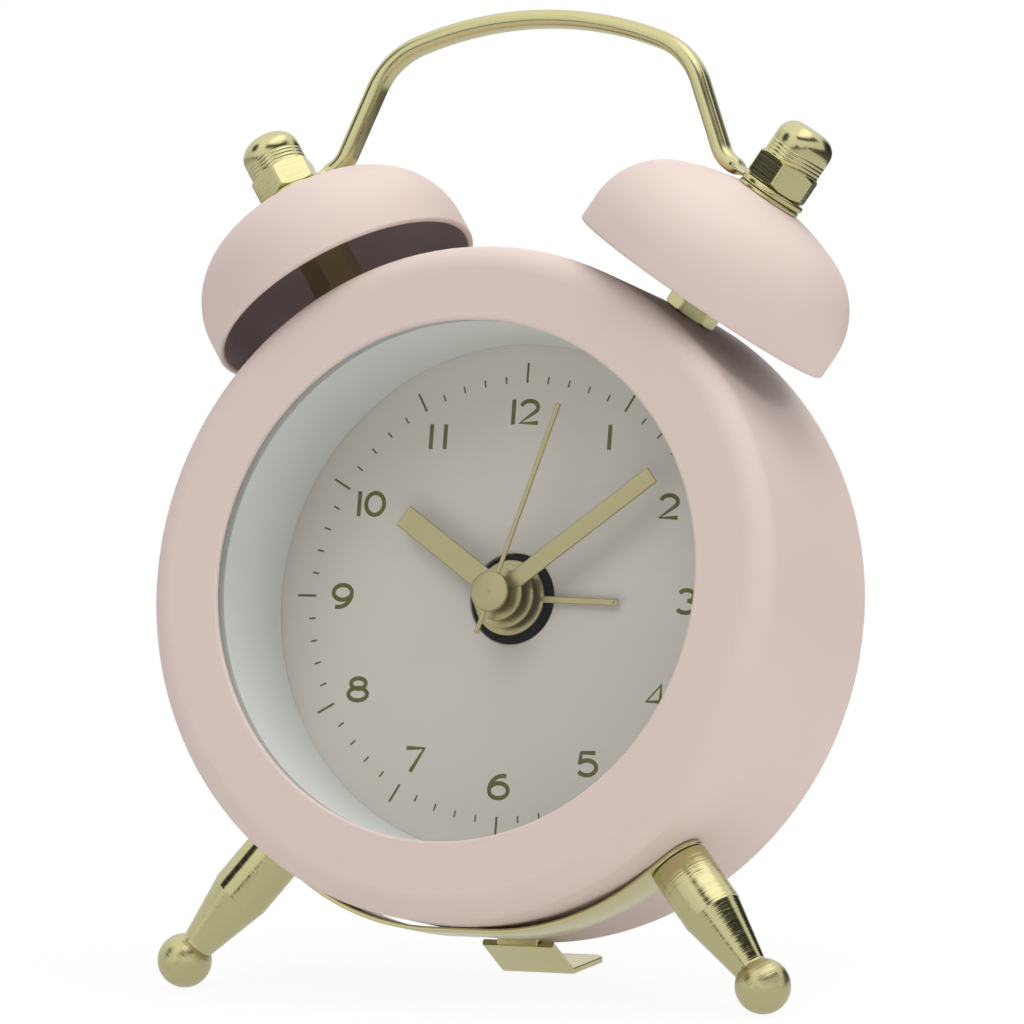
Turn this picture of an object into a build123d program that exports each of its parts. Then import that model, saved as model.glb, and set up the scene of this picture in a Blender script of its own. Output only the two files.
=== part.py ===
"""Twin-bell desk clock with a battery quartz alarm movement.

The clock is drawn about the axis of its round case: depth runs from the bezel's front
plane to the back, and angles are clockwise from 12 as the dial is read. The whole clock
then leans back on its two ball-footed legs and a bent rear foot. Z is up, the floor is
Z = 0, and the origin is the centre of the standing clock's footprint box.
"""
from build123d import *
from math import acos, atan2, cos, degrees, pi, radians, sin, sqrt
import os

os.makedirs("parts", exist_ok=True)

# Fits and joints shared by all pieces
seat_gap = 0.05          # between faces that rest on each other
running_gap = 0.05       # radial, a shaft turning in its hole
press_gap = 0.01         # radial, a hand pushed on its tube
screw_clearance = 0.15   # radial, a stud through a plain hole
cut_overrun = 1.0        # how far a cut runs past the face it opens

# Stance
lean = 14.0              # degrees that the case leans back
leg_angle = 39.8         # degrees between each leg and straight down
leg_depth = 9.2          # from the bezel plane back to the legs' axes
bell_angle = 33.1        # degrees between each bell and straight up
bell_depth = 10.5       # from the bezel plane back to the bells' axes

# Case
case_radius = 30.0
case_wall = 0.6
bezel_width = 6.9        # outside of the case to the hole that the dial is seen through
bezel_round = 2.2        # outer rounding of the bezel edge
rear_round = 1.2         # outer rounding of the rear edge
rear_lip = 1.8           # how far the rear edge turns in past its rounding
rim_recess = 0.5         # how far the cover sits inside the rear edge

# Lens, ring and dial
lens_thickness = 1.1
lens_overlap = 4.6       # how far the lens reaches behind the bezel
ring_wall = 0.8
ring_flange = 0.5
ring_setback = 0.15      # the ring's front edge stands this far outside the opening
ring_flange_width = 2.4
dial_depth = 12.95       # from the bezel plane back to the dial's face
dial_thickness = 0.4
dial_overlap = 2.7       # how far the dial reaches behind the ring
dial_hole = 4.1          # radius

# Hands, each a blade on a round collet
time_hour_angle = 304.4
time_minute_angle = 52.8
time_second_angle = 17.4
alarm_set_angle = 91.5
hand_thickness = 0.2
second_cap_front = 7.9
second_cap_radius = 1.8
second_cap_height = 0.45
second_boss_radius = 1.3
second_hand_reach = 17.8
second_hand_tail = 3.9
second_hand_width = 0.45
minute_hand_front = 9.6
minute_hand_reach = 17.95
minute_hand_width = 1.65
minute_collet_radius = 2.4
hour_hand_front = 11.0
hour_hand_reach = 12.75
hour_hand_width = 2.15
hour_collet_radius = 2.9
alarm_hand_front = 12.25
alarm_hand_reach = 10.7
alarm_hand_width = 0.6
alarm_collet_radius = 3.4
collet_height = 0.8
collet_flange = 0.3

# Coaxial tubes of the hands
second_arbor_radius = 0.35
tube_wall = 0.48
tube_stub = 0.15         # how far a tube stands out of its hand

# Motion work and running train
setting_distance = 6.0   # centre to each setting arbor
setting_angle = 120.0    # degrees from 12 to the time-setting arbor, mirrored for the alarm
cannon_leaves = 10
motion_teeth = 30
motion_leaves = 8
hour_teeth = 32
alarm_leaves = 8
alarm_teeth = 32
third_distance = 5.7     # centre to the third arbor
third_angle = 0.0
centre_teeth = 60
third_leaves = 8
third_teeth = 64
second_leaves = 8
second_teeth = 30
step_distance = 4.5      # centre to the intermediate arbor
step_angle = 290.0
step_leaves = 6
step_teeth = 36
rotor_distance = 4.2     # intermediate arbor to the rotor
rotor_angle = 270.0      # direction from the intermediate arbor to the rotor
rotor_leaves = 6
wheel_thickness = 0.4
pinion_length = 0.7
layer_gap = 0.2
arbor_radius = 0.25
setting_arbor_radius = 0.6
hub_wall = 0.4
window_count = 5
crossing_share = 0.72    # how much of a wheel's web its windows take

# Tooth forms, as heights above the pitch circle in modules and half widths in pitches
wheel_root_shares = (-1.35, 0.27)
wheel_tip_shares = (1.2, 0.07)
leaf_root_shares = (-1.55, 0.15)
leaf_side_shares = (0.0, 0.165)
leaf_tip_shares = (0.62, 0.08)

# Movement housing
plate_thickness = 1.2
bridge_thickness = 0.5
bridge_margin = 1.3      # bridge plate round its pivots and pillars
housing_wall = 0.8
housing_half_width = 16.0
housing_top = 16.0
housing_bottom = -9.1
housing_corner = 2.0
bay_half_width = 7.3
bay_corner = 1.2
pillar_radius = 1.0
pillar_pin_radius = 0.5
pillar_spots = [(-7.6, 6.6), (-9.6, -1.6), (4.2, 9.8)]
screw_post_radius = 1.5
screw_inset = 2.9        # from the housing's sides to its screws
low_screw_inset = 2.3    # from its lower edge to its screws
small_screw_radius = 0.45
small_head_radius = 0.9
small_head_height = 0.4
small_screw_depth = 3.0  # how far a small screw reaches into its post

# Motor and circuit
rotor_magnet_radius = 1.9
rotor_magnet_height = 0.8
stator_gap = 0.35
stator_ring = 0.75
stator_arm_width = 2.0
stator_thickness = 0.8
coil_offset = 4.8        # rotor centre to the coil's axis
coil_half_length = 4.5
coil_radius = 1.3
winding_radius = 1.15
core_thickness = 0.6
core_width = 1.0
core_overhang = 2.0
bobbin_wall = 0.2
bobbin_flange = 0.4
board_thickness = 0.6
board_width = 6.0
board_height = 7.6
board_x = 11.8
board_z = -1.2
board_corner = 0.6
board_post_radius = 0.8
chip_size = 3.0
chip_height = 0.8
chip_edge = 0.3
crystal_radius = 0.9
crystal_length = 4.6
buzzer_radius = 4.3
buzzer_height = 1.8
buzzer_hole = 0.8
buzzer_x = 10.7
buzzer_z = 7.6

# Battery
cell_radius = 5.8
cell_height = 5.4
cell_step = 0.5          # how much the negative cap stands in and proud
cell_edge = 0.3
cell_z = -15.3
cell_clearance = 0.25
door_rest = 0.3          # door to cell
contact_thickness = 0.25
contact_width = 3.0
contact_length = 7.0
contact_bend = 0.3

# Back cover and controls
cover_thickness = 1.6
cover_skirt_wall = 1.2
cover_skirt_depth = 2.2
cover_clearance = 0.15
snap_count = 3
snap_angle = 16.0        # degrees that each snap lug spans
snap_reach = 0.9
post_radius = 1.2
post_count = 4
post_gap = 0.15          # posts stand this far inside the skirt
grille_count = 5
grille_slot_width = 0.9
grille_slot_length = 7.5
grille_pitch = 1.8
door_width = 12.4
door_height = 12.6
door_corner = 1.2
door_gap = 0.15
door_prong_radius = 0.6
door_prong_inset = 1.0
door_prong_length = 2.5
door_ridge_count = 4
door_ridge_width = 0.5
door_ridge_length = 6.0
door_ridge_height = 0.3
door_ridge_pitch = 1.3
door_ridge_offset = 3.2
arbor_hole_gap = 0.4
knob_radius = 4.1
knob_height = 3.6
knob_lift = 0.4
knob_rim = 1.1
knob_hub = 1.5
knob_recess = 1.4
knob_flutes = 16
knob_flute_depth = 0.4
knob_flute_width = 0.6
knob_edge = 0.4
switch_x = -6.0
switch_z = 19.2
switch_travel = 2.4
switch_gap = 0.1
switch_knob_length = 2.2
switch_knob_width = 1.8
switch_knob_stand = 1.0
switch_plate_length = 6.0
switch_plate_width = 3.2
switch_plate_thickness = 0.8
switch_body_length = 12.0
switch_body_width = 5.0
switch_body_height = 3.2
switch_peg_radius = 0.4
switch_peg_length = 1.2
switch_peg_inset = 0.8

# Bells
bell_gap = 2.0           # case surface to the bell's rim plane
bell_radius = 12.8
bell_height = 10.8
bell_wall = 0.6
bell_skirt = 2.3         # straight part above the rim
bell_shoulder = 7.3      # radius of the shoulder arc
bell_seat_radius = 3.2   # flat top that the washer lies on
stud_radius = 1.5
post_flats = 4.4         # hexagonal spacer across its flats
nut_flats = 5.5
thin_nut_height = 2.0
washer_radius = 3.0
washer_thickness = 0.35
stud_tail = 0.6          # stud past its inner nut
cap_hex_height = 2.6
cap_dome_radius = 2.7
cap_dome_height = 3.6
cap_dome_corner = 1.6
cap_hex_chamfer = 0.35
cap_hex_edge = 0.1
cap_socket = 4.0         # depth of the blind hole
cap_socket_gap = 0.2     # stud's end to the blind hole's bottom

# Handle
handle_width = 2.2
handle_thickness = 1.55
handle_corner = 0.65
handle_rise = 22.5       # outside of the case to the middle of the handle's top
handle_arch = 34.0       # radius of the flat arch
handle_shoulder_share = 0.5  # of the case's radius, from the middle to each shoulder
handle_shoulder_bend = 7.0
handle_heel = 5.75       # eye centre to the bend that rises from the bell
handle_heel_bend = 3.0
eye_radius = 3.1
eye_thickness = 0.6
eye_neck = 4.4           # eye centre to where the bar starts to flatten
eye_neck_end = 3.4       # eye centre to where it is as thin as the eye
eye_neck_width = 3.4
eye_corner = 0.2

# Legs, band and rear foot
leg_radius = 2.7
leg_straight = 5.6
leg_neck_radius = 1.5
leg_edge = 0.2
ball_radius = 2.45
leg_length = 13.5        # seat of the leg to the ball's centre
leg_screw_depth = 4.5
leg_screw_play = 0.3     # screw's end to the blind hole's bottom
screw_head_radius = 2.6
screw_head_height = 1.5
screw_slot_width = 0.8
screw_slot_depth = 0.7
band_thickness = 0.45
foot_thickness = 0.6
foot_width = 7.0
foot_front = 19.0        # depth where the foot leaves the case
foot_heel = 24.2         # depth of the bend on the floor
foot_end = 31.2          # depth of the flange's end
foot_drop = 0.36         # middle of the sheet below the case at its front end
foot_bend = 0.7
foot_corner = 1.0
tongue_width = 4.0
tongue_length = 3.4
tongue_bend = 0.4
tongue_slack = 0.12

# Depths, chained from the bezel plane to the rear edge
lens_front = case_wall + seat_gap
lens_back = lens_front + lens_thickness
ring_front = lens_back + seat_gap
ring_back = dial_depth - seat_gap
dial_back = dial_depth + dial_thickness
plate_front = dial_back + seat_gap
plate_back = plate_front + plate_thickness
alarm_wheel_front = plate_back + layer_gap
hour_wheel_front = alarm_wheel_front + wheel_thickness + layer_gap
cannon_front = hour_wheel_front + wheel_thickness + layer_gap
third_pinion_front = cannon_front + pinion_length + layer_gap
bridge_front = third_pinion_front + pinion_length + layer_gap
bridge_back = bridge_front + bridge_thickness
second_pinion_front = bridge_back + layer_gap
step_pinion_front = second_pinion_front + pinion_length + layer_gap
step_wheel_front = step_pinion_front + pinion_length + layer_gap
rear_wall_front = step_wheel_front + wheel_thickness + layer_gap
rear_wall_back = rear_wall_front + housing_wall
cover_front = rear_wall_back + seat_gap
cover_back = cover_front + cover_thickness
case_depth = cover_back + rim_recess
wheel_inset = (pinion_length - wheel_thickness) / 2

# Radii, chained outwards from the second arbor, and inwards from the case
bezel_opening = case_radius - bezel_width
cannon_bore = second_arbor_radius + running_gap
cannon_radius = cannon_bore + tube_wall
hour_bore = cannon_radius + running_gap
hour_radius = hour_bore + tube_wall
alarm_bore = hour_radius + running_gap
alarm_radius = alarm_bore + tube_wall
plate_bore = alarm_radius + running_gap
skirt_radius = case_radius - rear_round - rear_lip - cover_clearance
skirt_inner = skirt_radius - cover_skirt_wall
post_ring = skirt_inner - post_radius - post_gap
stud_hole = stud_radius + screw_clearance

# Distances from the case axis along a bell's or a leg's own axis
bell_rim = case_radius + bell_gap
crown_drop = bell_height - bell_skirt
shoulder_x = bell_radius - bell_shoulder
crown_radius = (shoulder_x ** 2 + crown_drop ** 2 - bell_shoulder ** 2) / (2 * (crown_drop - bell_shoulder))
crown_centre = bell_height - crown_radius
bell_seat = bell_rim + crown_centre + sqrt(crown_radius ** 2 - bell_seat_radius ** 2)
washer_seat = bell_seat + seat_gap
eye_seat = washer_seat + washer_thickness + seat_gap
cap_nut_seat = eye_seat + eye_thickness + seat_gap
band_inner = case_radius + seat_gap
leg_seat = band_inner + band_thickness + seat_gap
ball_distance = leg_seat + leg_length
handle_top = case_radius + handle_rise
handle_shoulder_x = case_radius * handle_shoulder_share

# The standing clock
lean_sin = sin(radians(lean))
lean_cos = cos(radians(lean))
axis_height = lean_sin * leg_depth + lean_cos * ball_distance * cos(radians(leg_angle)) + ball_radius
front_reach = lean_cos * bezel_round - lean_sin * (case_radius - bezel_round) - bezel_round
bell_tilt = lean_sin * cos(radians(bell_angle))
rear_reach = (lean_cos * bell_depth + bell_tilt * (bell_rim + bell_skirt)
              + shoulder_x * sqrt(1 - bell_tilt ** 2) + bell_shoulder)
stand = Location((0, -(front_reach + rear_reach) / 2, axis_height), (-lean, 0, 0))


def leaned(plane):
    """Plane of the upright clock, carried over to the standing clock."""
    return Plane(stand * plane.location)


face = leaned(Plane.XZ)       # local X to the right, local Y towards 12, normal to the viewer
section = leaned(Plane.YZ)    # local X is depth, local Y is height above the case axis
case_axis = Axis(section.origin, section.x_dir)


def at_depth(depth, clockwise=0, centre=(0, 0)):
    """Plane parallel to the dial, at a spot on it, whose Y points to an angle from 12."""
    turned = Location((centre[0], centre[1], 0), (0, 0, -clockwise))
    return Plane(face.offset(-depth).location * turned)


def spoke_section(clockwise, depth):
    """Plane through a radial axis: local X runs back, local Y outwards along the axis."""
    angle = radians(clockwise)
    return leaned(Plane(origin=(0, depth, 0), x_dir=(0, 1, 0), z_dir=(cos(angle), 0, -sin(angle))))


def spoke_face(clockwise, depth, distance):
    """Plane square to a radial axis, at a distance from the case axis."""
    angle = radians(clockwise)
    place = (distance * sin(angle), depth, distance * cos(angle))
    return leaned(Plane(origin=place, x_dir=(0, 1, 0), z_dir=(sin(angle), 0, cos(angle))))


def spot(distance, clockwise):
    """Point on the dial plane at a distance and an angle from 12."""
    return (distance * sin(radians(clockwise)), distance * cos(radians(clockwise)))


def turn_profile(points):
    """Revolve a closed outline of depth and radius about the case axis."""
    with BuildSketch(section) as outline:
        with BuildLine():
            Polyline(*points, close=True)
        make_face()
    revolve(outline.sketch, axis=case_axis)


def disc(depth, radius, thickness, centre=(0, 0), mode=Mode.ADD):
    """Round plate or hole that runs back from a depth."""
    with BuildSketch(at_depth(depth, 0, centre)) as outline:
        Circle(radius)
    extrude(outline.sketch, amount=-thickness, mode=mode)


def save(built, name):
    """Label one piece and write it."""
    built.part.label = name
    export_step(built.part, "parts/" + name + ".step")


def setting_spot(side):
    """Centre of a setting arbor: side 1 is the time, -1 the alarm."""
    return spot(setting_distance, side * setting_angle)


third_spot = spot(third_distance, third_angle)
step_spot = spot(step_distance, step_angle)
rotor_step = spot(rotor_distance, rotor_angle)
rotor_spot = (step_spot[0] + rotor_step[0], step_spot[1] + rotor_step[1])


# Case shell: one drawn cup with a turned-in bezel and a rolled rear edge
with BuildPart() as case_shell:
    inner_radius = case_radius - case_wall
    with BuildSketch(section):
        with BuildLine():
            nose = bezel_opening + case_wall / 2
            Line((0, nose), (0, case_radius - bezel_round))
            RadiusArc((0, case_radius - bezel_round), (bezel_round, case_radius), bezel_round)
            Line((bezel_round, case_radius), (case_depth - rear_round, case_radius))
            RadiusArc((case_depth - rear_round, case_radius),
                      (case_depth, case_radius - rear_round), rear_round)
            Line((case_depth, case_radius - rear_round),
                 (case_depth, case_radius - rear_round - rear_lip))
            Line((case_depth, case_radius - rear_round - rear_lip),
                 (case_depth - case_wall, case_radius - rear_round - rear_lip))
            Line((case_depth - case_wall, case_radius - rear_round - rear_lip),
                 (case_depth - case_wall, case_radius - rear_round))
            Polyline((case_depth - case_wall, case_radius - rear_round),
                     (case_depth - rear_round, inner_radius), (bezel_round, inner_radius),
                     (case_wall, case_radius - bezel_round), (case_wall, nose))
            ThreePointArc((case_wall, nose), (case_wall / 2, bezel_opening), (0, nose))
        make_face()
    revolve(axis=case_axis)
    for side in (-1, 1):
        with BuildSketch(spoke_face(side * bell_angle, bell_depth, inner_radius - cut_overrun)):
            Circle(stud_hole)
        extrude(amount=case_wall + 2 * cut_overrun, mode=Mode.SUBTRACT)
        with BuildSketch(spoke_face(180 - side * leg_angle, leg_depth, inner_radius - cut_overrun)):
            Circle(stud_hole)
        extrude(amount=case_wall + 2 * cut_overrun, mode=Mode.SUBTRACT)
    slot_half = foot_thickness / 2 + tongue_slack
    with BuildSketch(spoke_face(180, foot_front + slot_half, inner_radius - cut_overrun)):
        Rectangle(2 * slot_half, tongue_width + 2 * tongue_slack)
    extrude(amount=case_wall + 2 * cut_overrun, mode=Mode.SUBTRACT)
save(case_shell, "case_shell")


# Lens, inner ring and dial, stacked behind the bezel
with BuildPart() as lens:
    disc(lens_front, bezel_opening + lens_overlap, lens_thickness)
save(lens, "lens")

with BuildPart() as inner_ring:
    ring_mouth = bezel_opening + ring_setback
    ring_foot = bezel_opening
    turn_profile([
        (ring_front, ring_mouth),
        (ring_back, ring_foot),
        (ring_back, ring_foot + ring_flange_width),
        (ring_back - ring_flange, ring_foot + ring_flange_width),
        (ring_back - ring_flange, ring_foot + ring_wall),
        (ring_front + ring_flange, ring_mouth + ring_wall),
        (ring_front + ring_flange, bezel_opening + lens_overlap),
        (ring_front, bezel_opening + lens_overlap),
    ])
save(inner_ring, "inner_ring")

with BuildPart() as dial:
    disc(dial_depth, bezel_opening + dial_overlap, dial_thickness)
    disc(dial_depth - cut_overrun, dial_hole, dial_thickness + 2 * cut_overrun, mode=Mode.SUBTRACT)
save(dial, "dial")


# Gears
def gear_points(teeth, module, leaf):
    """Outline of a wheel, or of a pinion where leaf is true."""
    pitch_radius = teeth * module / 2
    pitch = 2 * pi / teeth
    if leaf:
        shares = [leaf_root_shares, leaf_side_shares, leaf_tip_shares]
    else:
        shares = [wheel_root_shares, wheel_tip_shares]
    flank = [(pitch_radius + rise * module, half * pitch) for rise, half in shares]
    points = []
    for tooth in range(teeth):
        for radius, half in flank:
            angle = tooth * pitch - half
            points.append((radius * sin(angle), radius * cos(angle)))
        for radius, half in reversed(flank):
            angle = tooth * pitch + half
            points.append((radius * sin(angle), radius * cos(angle)))
    return points


def toothed(depth, centre, teeth, module, facing, leaf, thickness):
    """Gear at a spot on the dial plane: a tooth, or a pinion's gap, faces an angle from 12."""
    turn = facing + (180 / teeth if leaf else 0)
    with BuildSketch(at_depth(depth, turn, centre)) as outline:
        with BuildLine():
            Polyline(*gear_points(teeth, module, leaf), close=True)
        make_face()
    extrude(outline.sketch, amount=-thickness)


def windows(depth, centre, teeth, module, hub):
    """Round windows through a wheel's web, between hub and rim."""
    rim = (teeth / 2 + wheel_root_shares[0]) * module
    with BuildSketch(at_depth(depth - cut_overrun, 0, centre)) as outline:
        with PolarLocations((hub + rim) / 2, window_count):
            Circle((rim - hub) / 2 * crossing_share)
    extrude(outline.sketch, amount=-(wheel_thickness + 2 * cut_overrun), mode=Mode.SUBTRACT)


cannon_module = 2 * setting_distance / (cannon_leaves + motion_teeth)
hour_module = 2 * setting_distance / (motion_leaves + hour_teeth)
alarm_module = 2 * setting_distance / (alarm_leaves + alarm_teeth)
centre_module = 2 * third_distance / (third_leaves + centre_teeth)
third_module = 2 * third_distance / (second_leaves + third_teeth)
second_module = 2 * step_distance / (step_leaves + second_teeth)
step_module = 2 * rotor_distance / (rotor_leaves + step_teeth)

with BuildPart() as alarm_wheel:
    toothed(alarm_wheel_front, (0, 0), alarm_teeth, alarm_module, -setting_angle, False, wheel_thickness)
    tube_front = alarm_hand_front - tube_stub
    disc(tube_front, alarm_radius, alarm_wheel_front - tube_front)
    disc(tube_front - cut_overrun, alarm_bore, case_depth, mode=Mode.SUBTRACT)
save(alarm_wheel, "alarm_wheel")

with BuildPart() as hour_wheel:
    toothed(hour_wheel_front, (0, 0), hour_teeth, hour_module, setting_angle, False, wheel_thickness)
    tube_front = hour_hand_front - tube_stub
    disc(tube_front, hour_radius, hour_wheel_front - tube_front)
    disc(tube_front - cut_overrun, hour_bore, case_depth, mode=Mode.SUBTRACT)
save(hour_wheel, "hour_wheel")

with BuildPart() as cannon_pinion:
    toothed(cannon_front, (0, 0), cannon_leaves, cannon_module, setting_angle, True, pinion_length)
    tube_front = minute_hand_front - tube_stub
    disc(tube_front, cannon_radius, third_pinion_front + wheel_inset + wheel_thickness - tube_front)
    disc(tube_front - cut_overrun, cannon_bore, case_depth, mode=Mode.SUBTRACT)
save(cannon_pinion, "cannon_pinion")

with BuildPart() as centre_wheel:
    centre_wheel_front = third_pinion_front + wheel_inset
    toothed(centre_wheel_front, (0, 0), centre_teeth, centre_module, third_angle, False, wheel_thickness)
    windows(centre_wheel_front, (0, 0), centre_teeth, centre_module, cannon_radius + hub_wall)
    disc(centre_wheel_front - cut_overrun, cannon_radius + running_gap,
         wheel_thickness + 2 * cut_overrun, mode=Mode.SUBTRACT)
save(centre_wheel, "centre_wheel")

with BuildPart() as second_wheel:
    second_front = second_cap_front + second_cap_height / 2
    disc(second_front, second_arbor_radius, rear_wall_front + housing_wall / 2 - second_front)
    toothed(second_pinion_front, (0, 0), second_leaves, third_module, third_angle, True, pinion_length)
    toothed(step_pinion_front + wheel_inset, (0, 0), second_teeth, second_module, step_angle, False,
            wheel_thickness)
save(second_wheel, "second_wheel")

with BuildPart() as third_wheel:
    disc(plate_front + plate_thickness / 2, arbor_radius,
         rear_wall_front + housing_wall / 2 - plate_front - plate_thickness / 2, third_spot)
    toothed(third_pinion_front, third_spot, third_leaves, centre_module, third_angle + 180, True,
            pinion_length)
    third_wheel_front = second_pinion_front + wheel_inset
    toothed(third_wheel_front, third_spot, third_teeth, third_module, third_angle + 180, False,
            wheel_thickness)
save(third_wheel, "third_wheel")

with BuildPart() as intermediate_wheel:
    disc(bridge_front + bridge_thickness / 2, arbor_radius,
         rear_wall_front + housing_wall / 2 - bridge_front - bridge_thickness / 2, step_spot)
    toothed(step_pinion_front, step_spot, step_leaves, second_module, step_angle + 180, True,
            pinion_length)
    toothed(step_wheel_front, step_spot, step_teeth, step_module, rotor_angle, False, wheel_thickness)
save(intermediate_wheel, "intermediate_wheel")

with BuildPart() as rotor:
    disc(bridge_front + bridge_thickness / 2, arbor_radius,
         rear_wall_front + housing_wall / 2 - bridge_front - bridge_thickness / 2, rotor_spot)
    disc(second_pinion_front, rotor_magnet_radius, rotor_magnet_height, rotor_spot)
    toothed(step_wheel_front - wheel_inset, rotor_spot, rotor_leaves, step_module, rotor_angle + 180,
            True, wheel_thickness + wheel_inset)
save(rotor, "rotor")

knob_front = cover_back + knob_lift


def setting_arbor(side):
    """Setting arbor up to its knob."""
    disc(plate_front + plate_thickness / 2, setting_arbor_radius,
         knob_front + knob_height / 2 - plate_front - plate_thickness / 2, setting_spot(side))


with BuildPart() as motion_wheel:
    setting_arbor(1)
    toothed(cannon_front + wheel_inset, setting_spot(1), motion_teeth, cannon_module,
            setting_angle + 180, False, wheel_thickness)
    toothed(hour_wheel_front - wheel_inset, setting_spot(1), motion_leaves, hour_module,
            setting_angle + 180, True, wheel_thickness + 2 * wheel_inset)
save(motion_wheel, "motion_wheel")

with BuildPart() as alarm_arbor:
    setting_arbor(-1)
    toothed(alarm_wheel_front - wheel_inset, setting_spot(-1), alarm_leaves, alarm_module,
            180 - setting_angle, True, wheel_thickness + 2 * wheel_inset)
save(alarm_arbor, "alarm_arbor")


# Hands
def collet(front, radius, bore):
    """Stepped brass collet behind a hand's blade."""
    disc(front, radius, collet_flange)
    disc(front + collet_flange, (radius + bore) / 2, collet_height - collet_flange)


def blade(front, angle, reach, width, tail=0):
    """Flat blade from the centre, or from a tail behind it, to its tip."""
    with BuildSketch(at_depth(front, angle)) as outline:
        with Locations((0, (reach - tail) / 2)):
            Rectangle(width, reach + tail)
    extrude(outline.sketch, amount=-hand_thickness)


with BuildPart() as alarm_hand:
    collet(alarm_hand_front, alarm_collet_radius, alarm_radius)
    blade(alarm_hand_front, alarm_set_angle, alarm_hand_reach, alarm_hand_width)
    disc(alarm_hand_front - cut_overrun, alarm_radius + press_gap, 2 * cut_overrun + collet_height,
         mode=Mode.SUBTRACT)
save(alarm_hand, "alarm_hand")

with BuildPart() as hour_hand:
    collet(hour_hand_front, hour_collet_radius, hour_radius)
    blade(hour_hand_front, time_hour_angle, hour_hand_reach, hour_hand_width)
    disc(hour_hand_front - cut_overrun, hour_radius + press_gap, 2 * cut_overrun + collet_height,
         mode=Mode.SUBTRACT)
save(hour_hand, "hour_hand")

with BuildPart() as minute_hand:
    collet(minute_hand_front, minute_collet_radius, cannon_radius)
    blade(minute_hand_front, time_minute_angle, minute_hand_reach, minute_hand_width)
    disc(minute_hand_front - cut_overrun, cannon_radius + press_gap, 2 * cut_overrun + collet_height,
         mode=Mode.SUBTRACT)
save(minute_hand, "minute_hand")

with BuildPart() as second_hand:
    disc(second_cap_front, second_cap_radius, second_cap_height)
    blade(second_cap_front + second_cap_height, time_second_angle, second_hand_reach,
          second_hand_width, second_hand_tail)
    disc(second_cap_front + second_cap_height, second_boss_radius, collet_height)
    disc(second_front, second_arbor_radius + press_gap, cut_overrun + collet_height + second_cap_height,
         mode=Mode.SUBTRACT)
save(second_hand, "second_hand")


# Movement housing
def housing_outline(inset):
    """Gear chamber."""
    with Locations((0, (housing_top + housing_bottom) / 2)):
        RectangleRounded(2 * (housing_half_width - inset), housing_top - housing_bottom - 2 * inset,
                         housing_corner)


bay_bottom = cell_z - cell_radius - cell_clearance - housing_wall
bay_top = housing_bottom + housing_wall


def bay_outline(inset):
    """Battery bay below the gear chamber, one wall shared."""
    with Locations((0, (bay_bottom + bay_top) / 2)):
        RectangleRounded(2 * (bay_half_width - inset), bay_top - bay_bottom - 2 * inset, bay_corner)


def mirrored(places):
    """Places and their mirror images across the clock's middle."""
    return [(side * x, z) for x, z in places for side in (-1, 1)]


stator_front = bridge_back + seat_gap
core_front = stator_front + stator_thickness + seat_gap
core_back = core_front + core_thickness
core_middle = (core_front + core_back) / 2
coil_x = rotor_spot[0] - coil_offset
arm_rise = coil_half_length + core_overhang / 2
motor_screw_spots = [(coil_x, rotor_spot[1] + arm_rise), (coil_x, rotor_spot[1] - arm_rise)]
screw_x = housing_half_width - screw_inset
screw_spots = mirrored([(screw_x, housing_top - screw_inset), (screw_x, housing_bottom + low_screw_inset)])
board_front = bridge_front
board_post_x = board_x + board_width / 2 - board_post_radius
board_posts = [(board_post_x, board_z - board_height / 2 + board_post_radius),
               (board_post_x, board_z + board_height / 2 - board_post_radius)]
pivot_front = plate_front + plate_thickness / 2
pivot_back = rear_wall_front + housing_wall / 2
arbor_hole = arbor_radius + running_gap
setting_hole = setting_arbor_radius + running_gap


def small_screws(spots, seat):
    """Screws seated at a depth, their shanks pointing to the front."""
    for place in spots:
        disc(seat, small_head_radius, small_head_height, place)
        disc(seat - small_screw_depth, small_screw_radius - press_gap, small_screw_depth, place)


def screw_pilots(spots, post_end):
    """Blind pilot holes from the ends of posts."""
    for place in spots:
        disc(post_end - small_screw_depth, small_screw_radius, small_screw_depth + cut_overrun, place,
             mode=Mode.SUBTRACT)


with BuildPart() as movement_front:
    with BuildSketch(at_depth(plate_front)):
        housing_outline(0)
        bay_outline(0)
    extrude(amount=-plate_thickness)
    for place in screw_spots:
        disc(plate_back, screw_post_radius, rear_wall_front - seat_gap - plate_back, place)
    for place in pillar_spots:
        disc(plate_back, pillar_radius, bridge_front - seat_gap - plate_back, place)
        disc(plate_back, pillar_pin_radius, bridge_back - plate_back, place)
    for place in motor_screw_spots:
        disc(plate_back, pillar_radius, stator_front - seat_gap - plate_back, place)
    for place in board_posts:
        disc(plate_back, board_post_radius, board_front - seat_gap - plate_back, place)
    disc(plate_front - cut_overrun, plate_bore, plate_thickness + 2 * cut_overrun, mode=Mode.SUBTRACT)
    disc(pivot_front, arbor_hole, plate_thickness, third_spot, mode=Mode.SUBTRACT)
    for side in (-1, 1):
        disc(pivot_front, setting_hole, plate_thickness, setting_spot(side), mode=Mode.SUBTRACT)
    screw_pilots(screw_spots, rear_wall_front - seat_gap)
    screw_pilots(motor_screw_spots, stator_front - seat_gap)
save(movement_front, "movement_front")

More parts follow.
